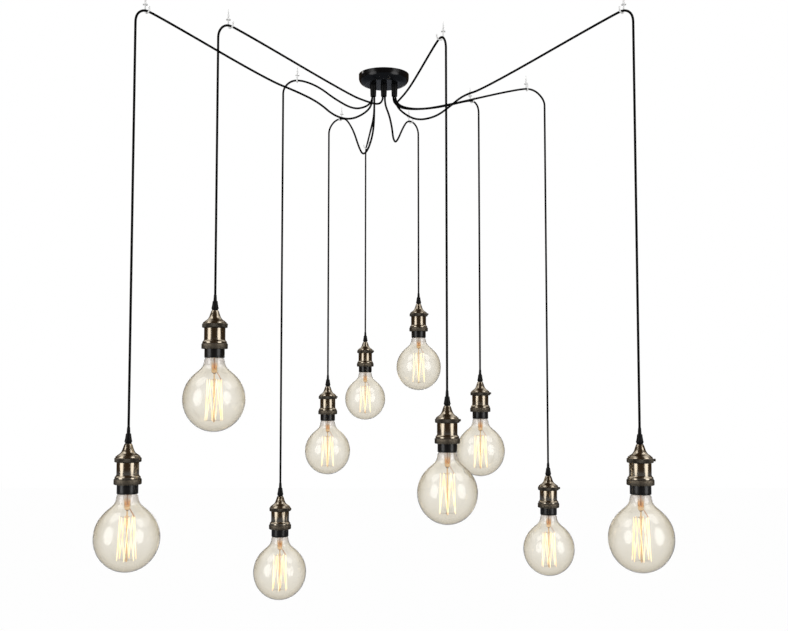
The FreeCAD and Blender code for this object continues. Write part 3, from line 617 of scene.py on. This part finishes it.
def soft_box(name, place, width, height, power):
    """Large round lamp that shows in gloss and metal as a soft window."""
    data = bpy.data.lights.new(name, "AREA")
    data.shape = "ELLIPSE"
    data.size = width
    data.size_y = height
    data.energy = power
    light = bpy.data.objects.new(name, data)
    light.location = place
    direction = Vector(LIGHT_AIM) - Vector(place)
    light.rotation_euler = direction.to_track_quat("-Z", "Y").to_euler()
    light.visible_camera = False
    light.visible_transmission = False
    bpy.context.scene.collection.objects.link(light)


def light_studio():
    """Soft boxes and pale overhead panels left and right, a white backdrop, a dim warm room."""
    for name, (out, front, level, width, height, power) in SOFT_BOXES.items():
        soft_box(name + "_left", (-out, front, level), width, height, power)
        soft_box(name + "_right", (out, front, level), width, height, power)
    world = bpy.data.worlds.new("studio")
    bpy.context.scene.world = world
    world.use_nodes = True
    nodes = Nodes(world.node_tree)
    seen = nodes.ray("Is Camera Ray")
    through = nodes.ray("Is Transmission Ray")
    mirrored = nodes.ray("Is Glossy Ray")
    heading = nodes.add("ShaderNodeTexCoord", {}, {}, output="Generated")
    back = nodes.part(heading, "Y")
    up = nodes.part(heading, "Z")
    side = nodes.math("ABSOLUTE", nodes.part(heading, "X"))
    panels = nodes.smooth(up, *PANEL_LOW_EDGE) * (1 - nodes.smooth(up, *PANEL_HIGH_EDGE))
    panels = panels * nodes.smooth(back, *PANEL_FRONT_EDGE)
    panels = panels * (1 - nodes.smooth(back, *PANEL_BACK_EDGE))
    panels = panels * nodes.smooth(side, *PANEL_INNER_EDGE)
    backdrop = nodes.math("MAXIMUM", seen, through)
    backdrop = nodes.math("MAXIMUM", backdrop, mirrored * nodes.smooth(back, *BACKDROP_EDGE))
    dim_room = nodes.blend(panels, rgb(0.060, 0.037, 0.018), rgb(1.0, 0.97, 0.92))
    room = nodes.blend(mirrored, rgb(0.38, 0.38, 0.38), dim_room)
    colour = nodes.blend(backdrop, room, rgb(1, 1, 1))
    background = nodes.add("ShaderNodeBackground", {}, {"Color": colour, "Strength": 1.0})
    nodes.add("ShaderNodeOutputWorld", {}, {"Surface": background})


def lay_floor():
    """Pale floor of the room, white to the camera."""
    mesh = bpy.data.meshes.new("floor")
    bm = bmesh.new()
    bmesh.ops.create_grid(bm, x_segments=1, y_segments=1, size=FLOOR_HALF_WIDTH)
    bmesh.ops.translate(bm, verts=bm.verts, vec=(0, 0, FLOOR_HEIGHT))
    bm.to_mesh(mesh)
    bm.free()
    floor = bpy.data.objects.new("floor", mesh)
    bpy.context.scene.collection.objects.link(floor)
    mesh.materials.append(backdrop_floor())


def backdrop_floor():
    """Pale floor that shows as the white backdrop, with a trace of the lamps' shadows."""
    material = bpy.data.materials.new("pale_floor")
    material.use_nodes = True
    nodes = Nodes(material.node_tree)
    seen = nodes.ray("Is Camera Ray")
    mirrored = nodes.ray("Is Glossy Ray")
    through = nodes.ray("Is Transmission Ray")
    white = nodes.math("MAXIMUM", nodes.math("MAXIMUM", seen, mirrored), through)
    grain = nodes.noise(nodes.place(), 12.0)
    paint = nodes.add("ShaderNodeBsdfPrincipled", {}, {
        "Base Color": nodes.blend(grain, rgb(0.86, 0.86, 0.85), rgb(0.82, 0.82, 0.81)),
        "Roughness": 0.7,
    })
    shown = nodes.blend(mirrored * (1 - through), rgb(1, 1, 1), rgb(0.16, 0.175, 0.205))
    glow = nodes.add("ShaderNodeEmission", {}, {"Color": shown, "Strength": 1.0})
    surface = nodes.add("ShaderNodeMixShader", {}, {0: white * 0.985, 1: paint, 2: glow})
    nodes.add("ShaderNodeOutputMaterial", {}, {"Surface": surface})
    return material


# Cords

def hook_centre(lamp):
    """Where the cord lies in its hook."""
    return Vector((lamp.hook[0] * HOOK_SPREAD, lamp.hook[1] * HOOK_SPREAD, -CORD_BELOW_CEILING))


def over_hook(lamp):
    """Level step from the middle of the hook to the hanging cord."""
    return Vector((lamp.step[0] * HOOK_BEND, lamp.step[1] * HOOK_BEND, 0))


def lamp_foot(number):
    """Middle of the lower edge of a lampholder's skirt, from the frame."""
    low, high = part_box("lampholder_insulation_" + str(number))
    return Vector(((low.x + high.x) / 2, (low.y + high.y) / 2, low.z))


def cord_points(number, lamp, points):
    """Control points of one cord: out of its outlet, along its swag, over its hook and down.

    The points over the hook are corners of an octagon, so that the cord bends round it.
    """
    place = hook_centre(lamp)
    across = over_hook(lamp)
    corner = across * math.tan(math.pi / 8)
    bend = place + across - Vector((0, 0, across.length - corner.length))
    start = Vector((lamp.outlet * OUTLET_PITCH + lamp.seat[0] * BUNDLE_STEP,
                    lamp.seat[1] * BUNDLE_STEP, CORD_START_HEIGHT))
    guide = Vector((start.x, start.y, CORD_GUIDE_HEIGHT))
    end = lamp_foot(number) + Vector((0, 0, INSULATOR_TOP))
    below = Vector((end.x, end.y, bend.z - CORD_LEAVES_HOOK))
    return [start, guide, *map(Vector, points), place - corner, place + corner, bend, below, end]


def nurbs_curve(name, points):
    curve = bpy.data.curves.new(name, "CURVE")
    curve.dimensions = "3D"
    curve.resolution_u = CORD_STEPS_PER_RUN
    curve.use_fill_caps = True
    spline = curve.splines.new("NURBS")
    spline.points.add(len(points) - 1)
    for knot, point in zip(spline.points, points):
        knot.co = (*point, 1)
    spline.order_u = 3
    spline.use_endpoint_u = True
    return curve


def mesh_of(curve):
    holder = bpy.data.objects.new(curve.name, curve)
    mesh = bpy.data.meshes.new_from_object(holder)
    bpy.data.objects.remove(holder)
    return mesh


def lay_uv(mesh, path, sides):
    """UV map that runs round the cord once and along it in cord diameters."""
    reach = [0.0]
    for here, there in zip(path, path[1:]):
        reach.append(reach[-1] + (there - here).length / CORD_DIA)
    layer = mesh.uv_layers.new(name="lay")
    for face in mesh.polygons:
        turns = [mesh.loops[corner].vertex_index % sides for corner in face.loop_indices]
        closing = max(turns) - min(turns) > 1
        for corner, turn in zip(face.loop_indices, turns):
            ring = min(mesh.loops[corner].vertex_index // sides, len(path) - 1)
            round_share = 1.0 if closing and turn == 0 else turn / sides
            layer.data[corner].uv = (round_share, reach[ring])


def make_cord(number, lamp, points, finishes):
    """One cord from its outlet to its lampholder, as a tube round a smooth line."""
    curve = nurbs_curve("cord_line", cord_points(number, lamp, points))
    path = [vertex.co.copy() for vertex in mesh_of(curve).vertices]
    curve.bevel_depth = CORD_DIA / 2
    curve.bevel_resolution = CORD_SIDES_LEVEL
    mesh = mesh_of(curve)
    sides = len(mesh.vertices) // len(path)
    lay_uv(mesh, path, sides)
    mesh.shade_smooth()
    mesh.materials.clear()
    mesh.materials.append(finishes["woven_cord"])
    cord = bpy.data.objects.new("cord_" + str(number), mesh)
    bpy.context.scene.collection.objects.link(cord)
    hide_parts("swag_cords", "drop_cord_" + str(number))
    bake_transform(cord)


# Turned shapes

def arc_points(centre, radius, start, end, steps):
    """Outline points along an arc, with angles in degrees from outwards to up."""
    points = []
    for step in range(steps + 1):
        angle = math.radians(start + (end - start) * step / steps)
        points.append((centre[0] + radius * math.cos(angle),
                       centre[1] + radius * math.sin(angle)))
    return points


def edge_points(corner, steps):
    """Outline points of a rounded edge, given as steps from the corner that it rounds."""
    return [(corner[0] + out, corner[1] + up) for out, up in steps]


def bow(start, end, sag, steps=8):
    """Outline points from start to end on a shallow curve that sags towards the axis."""
    points = []
    for step in range(steps + 1):
        share = step / steps
        hollow = 4 * sag * share * (1 - share)
        points.append((start[0] + (end[0] - start[0]) * share - hollow,
                       start[1] + (end[1] - start[1]) * share))
    return points


def eased(points, steps=5):
    """Outline points on a smooth line through all the given ones."""
    line = [Vector(point) for point in points]
    ends = [2 * line[0] - line[1], *line, 2 * line[-1] - line[-2]]
    smooth = [line[0]]
    for before, here, there, after in zip(ends, ends[1:], ends[2:], ends[3:]):
        for step in range(1, steps + 1):
            share = step / steps
            pull = there - before
            brake = after - here
            square = share * share
            cube = square * share
            smooth.append(here * (2 * cube - 3 * square + 1) + there * (3 * square - 2 * cube)
                          + pull * (cube - 2 * square + share) / 2 + brake * (cube - square) / 2)
    return [(point.x, point.y) for point in smooth]


def turned(outline, faces, edge=0.0, closed=True):
    """Mesh turned round the Z axis from (radius, height) points, its corners rounded by edge."""
    bm = bmesh.new()
    line = [bm.verts.new((radius, 0, height)) for radius, height in outline]
    ends = zip(line, line[1:] + line[:1]) if closed else zip(line, line[1:])
    for pair in ends:
        bm.edges.new(pair)
    if edge:
        free = [vertex for vertex in line if vertex.co.x > edge]
        bmesh.ops.bevel(bm, geom=free, offset=edge, offset_type="OFFSET", segments=2,
                        profile=0.5, affect="VERTICES", material=-1, clamp_overlap=True)
    bmesh.ops.spin(bm, geom=bm.verts[:] + bm.edges[:], axis=(0, 0, 1), cent=(0, 0, 0),
                   dvec=(0, 0, 0), angle=2 * math.pi, steps=faces, use_merge=True)
    return close_up(bm)


def close_up(bm):
    """Merge doubles, drop faces of no area and turn the faces outwards."""
    bmesh.ops.remove_doubles(bm, verts=bm.verts, dist=1e-6)
    bmesh.ops.dissolve_degenerate(bm, edges=bm.edges, dist=1e-7)
    bmesh.ops.recalc_face_normals(bm, faces=bm.faces)
    return bm


def knurl(bm, low, high, depth, teeth):
    """Press straight teeth into the outer face between two heights."""
    outer = max(math.hypot(vertex.co.x, vertex.co.y) for vertex in bm.verts)
    for vertex in bm.verts:
        radius = math.hypot(vertex.co.x, vertex.co.y)
        if low <= vertex.co.z <= high and radius > outer - 2 * depth:
            angle = math.atan2(vertex.co.y, vertex.co.x)
            share = 1 - depth / radius * (1 - math.cos(teeth * angle)) / 2
            vertex.co.x *= share
            vertex.co.y *= share


def bar(start, end, diameter, sides):
    """Round bar from one point to another."""
    bm = bmesh.new()
    line = end - start
    turn = line.to_track_quat("Z", "Y").to_matrix().to_4x4()
    matrix = Matrix.Translation((start + end) / 2) @ turn
    bmesh.ops.create_cone(bm, cap_ends=True, segments=sides, radius1=diameter / 2,
                          radius2=diameter / 2, depth=line.length, matrix=matrix)
    return bm


def joined(parts):
    """One bmesh from several."""
    whole = bmesh.new()
    for part in parts:
        mesh = bpy.data.meshes.new("part")
        part.to_mesh(mesh)
        part.free()
        whole.from_mesh(mesh)
        bpy.data.meshes.remove(mesh)
    return whole


def mark_wear(bm):
    """Attribute that is high where a surface turns sharply outwards."""
    layer = bm.verts.layers.float.new("wear")
    for vertex in bm.verts:
        bends = [edge.calc_face_angle_signed(0.0) for edge in vertex.link_edges]
        vertex[layer] = min(1.0, max(0.0, max(bends, default=0.0)) / SHARP_ANGLE)


def shine_above(mesh, height, material):
    """Second finish for the faces above a height."""
    mesh.materials.append(material)
    for face in mesh.polygons:
        if face.center.z > height:
            face.material_index = 1


def mesh_from(bm, name, material):
    """Finished mesh with its wear marked, smooth but for its sharp edges."""
    mark_wear(bm)
    mesh = bpy.data.meshes.new(name)
    bm.to_mesh(mesh)
    bm.free()
    mesh.shade_smooth()
    mesh.set_sharp_from_angle(angle=SHARP_ANGLE)
    mesh.materials.append(material)
    return mesh


# Lampholder

def dome_cap():
    """Wall that stands above the upper ring, rounded shoulder, hollow cone and neck."""
    shell = SHELL_DIA / 2
    foot = (UPPER_RING_BASE + UPPER_RING_TOP) / 2 + FIT
    cone = eased(CAP_OUTLINE)
    outline = [(shell - SHELL_WALL, foot), (shell, foot), (shell, CAP_WALL_TOP)]
    outline += cone
    outline += [(NECK_BORE_DIA / 2, NECK_TOP), (NECK_BORE_DIA / 2, NECK_TOP - GRIP_STUB)]
    inside = [(radius - SHELL_WALL, height - SHELL_WALL) for radius, height in reversed(cone)]
    outline += [point for point in inside if point[1] < NECK_TOP - GRIP_STUB - SHELL_WALL]
    outline += [(shell - SHELL_WALL, CAP_WALL_TOP - SHELL_WALL)]
    return turned(outline, PLAIN_FACES)


def upper_ring():
    """Band with fine teeth over the joint of cap and shell, and a plain step above it."""
    outer = UPPER_RING_DIA / 2
    inner = SHELL_DIA / 2 + FIT
    neck = outer - UPPER_RING_STEP
    base = UPPER_RING_BASE
    band_top = UPPER_RING_BAND_TOP
    top = UPPER_RING_TOP
    outline = [(inner, base), (outer - RING_CHAMFER, base), (outer, base + RING_CHAMFER),
               (outer, band_top - UPPER_RING_SLOPE), (outer - UPPER_RING_STEP * 0.6, band_top),
               (neck, band_top + UPPER_RING_HOLLOW), (neck, top - UPPER_RING_LIP),
               (neck - UPPER_RING_HOLLOW, top), (inner, top)]
    bm = turned(outline, TOOTHED_FACES, edge=SMALL_EDGE)
    knurl(bm, base + TEETH_INSET, band_top - UPPER_RING_HOLLOW, TOOTH_DEPTH, RING_TEETH)
    return bm


def shell():
    """Plain turned cylinder with rounded edges."""
    outer = SHELL_DIA / 2
    inner = outer - SHELL_WALL
    foot = SKIRT_HEIGHT + SHELL_WALL
    top = (UPPER_RING_BASE + UPPER_RING_TOP) / 2
    return turned([(inner, foot), (outer, foot), (outer, top), (inner, top)], PLAIN_FACES,
                  edge=SMALL_EDGE)


def lower_ring():
    """Hollow flare from the shell to a plain collar and a knurled band under it."""
    outer = LOWER_RING_DIA / 2
    inner = SHELL_DIA / 2 + FIT
    base = LOWER_RING_BASE
    top = LOWER_RING_BAND_TOP
    collar = outer - COLLAR_INSET
    outline = [(inner, base)]
    outline += edge_points((outer, base), LOWER_RING_FOOT)
    outline += edge_points((outer, top), LOWER_RING_SHOULDER)
    outline += [(collar + SMALL_EDGE, LOWER_RING_COLLAR_BASE - SMALL_EDGE),
                (collar, LOWER_RING_COLLAR_BASE), (collar, LOWER_RING_COLLAR_TOP)]
    outline += bow((collar - FLARE_INSET, LOWER_RING_COLLAR_TOP + FLARE_RISE),
                   (inner + 2 * FIT, LOWER_RING_TOP), FLARE_SAG)
    outline += [(inner, LOWER_RING_TOP)]
    bm = turned(outline, TOOTHED_FACES)
    knurl(bm, base + TEETH_INSET, top + 2 * FIT, TOOTH_DEPTH, RING_TEETH)
    return bm


def set_screw():
    """Small thumb screw in the side of the upper ring: a thin shank and a toothed head."""
    radius = SET_SCREW_DIA / 2
    shank = radius * 0.55
    outline = [(0, 0), (shank, 0), (shank, SET_SCREW_SHANK_END), (radius, SET_SCREW_HEAD_START),
               (radius, SET_SCREW_LENGTH - SET_SCREW_CHAMFER),
               (radius - SET_SCREW_CHAMFER, SET_SCREW_LENGTH), (0, SET_SCREW_LENGTH)]
    bm = turned(outline, 4 * SET_SCREW_TEETH, closed=False)
    knurl(bm, SET_SCREW_SHANK_END, SET_SCREW_LENGTH, SET_SCREW_TOOTH_DEPTH, SET_SCREW_TEETH)
    outward = Vector((math.cos(SET_SCREW_ANGLE), math.sin(SET_SCREW_ANGLE), 0))
    place = outward * (UPPER_RING_DIA / 2 - SMALL_EDGE)
    place.z = UPPER_RING_BAND_TOP - radius
    turn = outward.to_track_quat("Z", "Y").to_matrix().to_4x4()
    bmesh.ops.transform(bm, matrix=Matrix.Translation(place) @ turn, verts=bm.verts)
    return bm


def holder_contacts():
    """Thread sleeve, centre contact and the two terminal screws."""
    bore = SLEEVE_BORE_DIA / 2
    top = SLEEVE_START + SLEEVE_LENGTH
    sleeve = turned([(bore, SLEEVE_START), (bore + SLEEVE_WALL, SLEEVE_START),
                     (bore + SLEEVE_WALL, top), (bore, top)], INNER_FACES)
    contact = turned([(0, CONTACT_BASE), (CONTACT_DIA / 2, CONTACT_BASE),
                      (CONTACT_DIA / 2, CONTACT_BASE + CONTACT_HEIGHT),
                      (0, CONTACT_BASE + CONTACT_HEIGHT)], SMALL_FACES, edge=CONTACT_EDGE,
                     closed=False)
    screws = []
    for side in (-1, 1):
        screw = turned([(0, 0), (TERMINAL_DIA / 2, 0), (TERMINAL_DIA / 2, TERMINAL_HEIGHT),
                        (0, TERMINAL_HEIGHT)], SMALL_FACES, edge=TERMINAL_EDGE, closed=False)
        place = (side * TERMINAL_OUT, 0, INSULATOR_TOP)
        bmesh.ops.translate(screw, verts=screw.verts, vec=place)
        screws.append(screw)
    return joined([sleeve, contact, *screws])


def insulator():
    """Body inside the shell that carries the thread sleeve, with a closed top."""
    bore = SLEEVE_BORE_DIA / 2 + SLEEVE_WALL + FIT
    spigot = SKIRT_DIA / 2 - SKIRT_WALL - FIT
    body = SHELL_DIA / 2 - SHELL_WALL - FIT
    roof = CONTACT_BASE + CONTACT_HEIGHT
    return turned([(bore, INSULATOR_START), (spigot, INSULATOR_START),
                   (spigot, INSULATOR_SHOULDER), (body, INSULATOR_SHOULDER),
                   (body, INSULATOR_TOP), (0, INSULATOR_TOP), (0, roof), (bore, roof)],
                  INNER_FACES)


def skirt():
    """Black ring under the brass, with a fine groove above its rounded mouth."""
    outer = SKIRT_DIA / 2
    inner = outer - SKIRT_WALL
    groove = SKIRT_GROOVE_DEPTH
    outline = [(inner, 0), *edge_points((outer, 0), SKIRT_MOUTH)]
    outline += edge_points((outer, SKIRT_GROOVE_HEIGHT),
                           [(0, 0), (-groove, groove), (0, 2 * groove)])
    outline += [(outer, SKIRT_HEIGHT - FIT), (inner, SKIRT_HEIGHT - FIT)]
    return turned(outline, PLAIN_FACES)


def cord_grip():
    """Ribbed cone round the cord, widest in its lower third."""
    bore = CORD_DIA / 2 + GRIP_FIT
    wide = GRIP_WIDE_DIA / 2
    stub = NECK_BORE_DIA / 2 - FIT
    top = GRIP_TOP_DIA / 2
    sleeve = GRIP_SLEEVE_DIA / 2
    sleeve_top = GRIP_TOP + GRIP_SLEEVE
    outline = [(bore, NECK_TOP - GRIP_STUB), (stub, NECK_TOP - GRIP_STUB), (stub, NECK_TOP),
               (GRIP_FOOT_DIA / 2, NECK_TOP)]
    outline += arc_points((wide - GRIP_BELLY, NECK_TOP + GRIP_BELLY_HEIGHT), GRIP_BELLY, -50, 35, 6)
    outline += bow((wide - GRIP_CONE_INSET, NECK_TOP + GRIP_CONE_START),
                   (top + SMALL_EDGE, GRIP_TOP - GRIP_TOP_ROUND), GRIP_CONE_SAG, 5)
    outline += [(top - SMALL_EDGE, GRIP_TOP), (sleeve, GRIP_TOP),
                (sleeve, GRIP_TOP + GRIP_SLEEVE * 0.3), (bore + SMALL_EDGE, sleeve_top),
                (bore, sleeve_top)]
    bm = turned(outline, 4 * GRIP_RIBS)
    knurl(bm, NECK_TOP + GRIP_RIB_START, NECK_TOP + GRIP_RIB_END, GRIP_RIB_DEPTH, GRIP_RIBS)
    return bm


# Bulb

def glass_outline(inset):
    """Outline of the envelope from its lowest point up to its neck, drawn in by inset."""
    tall = GLOBE_HEIGHT / 2 - inset
    wide = GLOBE_DIA / 2 - inset
    middle = GLOBE_END + GLOBE_HEIGHT / 2
    globe = [(wide * across, middle + tall * up)
             for across, up in arc_points((0, 0), 1, -90, SHOULDER_LEAN, 48)]
    shoulder = [(radius - inset, height) for radius, height in SHOULDER_OUTLINE]
    return globe[:-1] + eased([globe[-1], *shoulder], 4)


def envelope():
    """Blown globe and neck, with a real wall and how far down each point lies."""
    end = NECK_GLASS_END_DIA / 2
    outer = glass_outline(0) + [(end, CAP_START), (end, NECK_GLASS_TOP)]
    inner = glass_outline(GLASS_WALL) + [(end - GLASS_WALL, CAP_START),
                                         (end - GLASS_WALL, NECK_GLASS_TOP)]
    return mark_depth(turned(outer + inner[::-1], PLAIN_FACES, closed=False))


def mark_depth(bm):
    """Attribute that tells how far down the bulb a vertex lies."""
    layer = bm.verts.layers.float.new("depth")
    for vertex in bm.verts:
        vertex[layer] = vertex.co.z / GLOBE_END
    return bm


def glass_mount():
    """Flared hollow tube with its pressed end, the rod below it and its two beads."""
    seal = NECK_GLASS_END_DIA / 2 - GLASS_WALL - FIT
    half = BEAD_HEIGHT / 2
    rod_radius = STEM_ROD_DIA / 2
    bore = STEM_DIA / 2 - GLASS_WALL
    tube = STEM_DIA / 2
    outline = [(bore * share, STEM_END + up) for share, up in STEM_FLOOR]
    outline += bow((bore, STEM_FLARE_END), (seal - GLASS_WALL, CAP_START), STEM_FLARE_SAG, 6)
    outline += [(seal - GLASS_WALL, NECK_GLASS_TOP), (seal, NECK_GLASS_TOP)]
    outline += bow((seal, CAP_START), (tube, STEM_FLARE_END), STEM_FLARE_SAG, 6)
    outline += edge_points((tube, STEM_END), STEM_SHOULDER)
    outline += edge_points((rod_radius, STEM_PRESS_END), ROD_SHOULDER)
    for middle in (CAGE_TOP, CAGE_BOTTOM):
        outline += [(rod_radius, middle + half)]
        outline += arc_points((rod_radius, middle), half * 0.8, 60, -60, 5)
        outline += [(rod_radius, middle - half)]
    outline += [(rod_radius, STEM_TIP + STEM_TIP_ROUND), (rod_radius * 0.6, STEM_TIP),
                (0, STEM_TIP)]
    return mark_depth(turned(outline, STEM_FACES, closed=False))


def cage_point(radius, height, angle):
    return Vector((radius * math.cos(angle), radius * math.sin(angle), height))


def cage_places():
    """Upper and lower turning points of the filament, and its two ends."""
    step = 2 * math.pi / CAGE_STEPS
    tops = [cage_point(CAGE_TOP_RADIUS, CAGE_TOP, step * i) for i in range(1, CAGE_STEPS)]
    lows = [cage_point(CAGE_BOTTOM_RADIUS, CAGE_BOTTOM, step * (i + 0.5))
            for i in range(CAGE_STEPS)]
    first = cage_point(CAGE_TOP_RADIUS, CAGE_TOP, LEAD_TURN)
    last = cage_point(CAGE_TOP_RADIUS, CAGE_TOP, -LEAD_TURN)
    return tops, lows, first, last


def filament():
    """One wire that runs up and down round the cage."""
    tops, lows, first, last = cage_places()
    line = [first]
    for low, top in zip(lows, tops + [last]):
        line += [low, top]
    parts = [bar(start, end, FILAMENT_DIA, WIRE_SIDES) for start, end in zip(line, line[1:])]
    for point in line:
        ball = bmesh.new()
        bmesh.ops.create_icosphere(ball, subdivisions=1, radius=FILAMENT_DIA / 2 * 1.05,
                                   matrix=Matrix.Translation(point))
        parts.append(ball)
    return joined(parts)


def cage_supports():
    """Wires from the two beads out to the turning points of the filament."""
    tops, lows, first, last = cage_places()
    parts = []
    for point in tops + lows:
        outward = Vector((point.x, point.y, 0)).normalized()
        root = outward * (BEAD_DIA / 2 - WIRE_SUNK) + Vector((0, 0, point.z))
        parts.append(bar(root, point, SUPPORT_DIA, WIRE_SIDES))
    return joined(parts)


def lead_wires():
    """Two wires down the mount's tube to its pressed end, and on from there to the filament."""
    tops, lows, first, last = cage_places()
    parts = []
    for point, side in ((first, 1), (last, -1)):
        spread = side * STEM_DIA / 4
        upper = Vector((0, spread, NECK_GLASS_TOP))
        lower = Vector((0, spread, STEM_END + LEAD_ABOVE_PRESS))
        root = Vector((STEM_DIA / 2 - SUPPORT_DIA, side * SUPPORT_DIA * 2, STEM_END - STEM_ROD_DIA))
        parts.append(bar(upper, lower, LEAD_DIA, LEAD_SIDES))
        parts.append(bar(root, point, LEAD_DIA, WIRE_SIDES))
    return joined(parts)


def screw_cap():
    """Cap of the bulb, with its screw thread as closed rings that are rolled into its wall."""
    crest = CAP_DIA / 2
    root = CAP_ROOT_DIA / 2
    bore = CAP_BORE_DIA / 2
    button = BUTTON_DIA / 2 + FIT
    outline = [(crest - CAP_LIP, CAP_START), (crest, CAP_START + CAP_LIP_HEIGHT),
               (crest, CAP_THREAD_START)]
    ridges = int((CAP_TOP - CAP_THREAD_START) / CAP_PITCH)
    for ridge in range(ridges):
        height = CAP_THREAD_START + ridge * CAP_PITCH
        for step in range(THREAD_STEPS):
            share = (step + 0.5) / THREAD_STEPS
            wave = (1 - math.cos(2 * math.pi * share)) / 2
            outline.append((crest - (crest - root) * wave, height + CAP_PITCH * share))
    outline += [(crest - CAP_SLOPE, CAP_TOP - CAP_SLOPE_DROP), (button, CAP_TOP),
                (button, CAP_TOP - CAP_ROOF), (bore, CAP_TOP - 2 * CAP_ROOF),
                (bore, NECK_GLASS_TOP + CAP_ROOF), (crest - CAP_LIP, NECK_GLASS_TOP)]
    return turned(outline, INNER_FACES)


def contact_button():
    """Rounded contact in the end of the cap."""
    half = BUTTON_DIA / 2
    base = CAP_TOP - CAP_ROOF
    return turned([(0, base), (half, base), (half, CAP_TOP + BUTTON_RIM),
                   (half * 0.6, BUTTON_TOP - BUTTON_EDGE), (0, BUTTON_TOP)], SMALL_FACES,
                  closed=False)


# Pieces

def lamp_shapes(finishes):
    """Every piece of one lamp: its name, its mesh, and its body, slot and node."""
    pieces = [
        ("dome_cap", dome_cap, "dark_bronze", HOLDER_BRASS),
        ("upper_ring", upper_ring, "dark_bronze", HOLDER_BRASS),
        ("shell", shell, "aged_brass", HOLDER_BRASS),
        ("lower_ring", lower_ring, "dark_bronze", HOLDER_BRASS),
        ("set_screw", set_screw, "dark_bronze", HOLDER_BRASS),
        ("holder_contacts", holder_contacts, "plain_brass", HOLDER_BRASS),
        ("insulator", insulator, "black_moulding", HOLDER_BLACK),
        ("skirt", skirt, "black_moulding", HOLDER_BLACK),
        ("cord_grip", cord_grip, "black_rubber", HOLDER_BLACK),
        ("globe", envelope, "amber_glass", BULB_GLASS),
        ("glass_mount", glass_mount, "clear_glass", BULB_GLASS),
        ("filament", filament, "glowing_filament", BULB_METAL),
        ("cage_supports", cage_supports, "nickel", BULB_METAL),
        ("lead_wires", lead_wires, "copper", BULB_METAL),
        ("screw_cap", screw_cap, "nickel", BULB_METAL),
        ("contact_button", contact_button, "nickel", BULB_METAL),
    ]
    bright_from = {
        "dome_cap": CAP_WALL_TOP,
        "upper_ring": UPPER_RING_BAND_TOP,
        "lower_ring": LOWER_RING_COLLAR_BASE,
    }
    shapes = []
    for name, build, finish_name, home in pieces:
        mesh = mesh_from(build(), name, finishes[finish_name])
        if name in bright_from:
            shine_above(mesh, bright_from[name], finishes["aged_brass"])
        shapes.append((name, mesh, home))
    return shapes


def hang_lamp(number, shapes):
    """Copies of the lamp's pieces at its own place, riding on its own bodies."""
    place = Matrix.Translation(lamp_foot(number))
    for name, shape, (body, slot, node) in shapes:
        mesh = shape.copy()
        mesh.transform(place)
        piece = bpy.data.objects.new(name + "_" + str(number), mesh)
        bpy.context.scene.collection.objects.link(piece)
        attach(piece, body + str(number))
        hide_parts(node + str(number))


def dress_frame(finishes):
    """Finish of each node of the model that shows as it is."""
    chosen = {
        "canopy": "black_enamel",
        "cord_outlets": "black_rubber",
        "canopy_screws": "bright_steel",
        "mounting_bracket": "zinc",
        "outlet_nuts": "zinc",
        "cord_clamps": "white_nylon",
        "terminal_block": "terminal_plastic",
        "terminal_screws": "plain_brass",
        "ceiling_hooks": "white_enamel",
    }
    for node, name in chosen.items():
        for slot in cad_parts[node].material_slots:
            slot.material = finishes[name]


def main():
    bpy.context.scene.view_settings.view_transform = "Standard"
    make_camera()
    finishes = make_finishes()
    for number, (lamp, points) in enumerate(zip(LAMPS, SWAG_POINTS), start=1):
        make_cord(number, lamp, points, finishes)
    light_studio()
    lay_floor()
    shapes = lamp_shapes(finishes)
    for number in range(1, len(LAMPS) + 1):
        hang_lamp(number, shapes)
    dress_frame(finishes)


main()
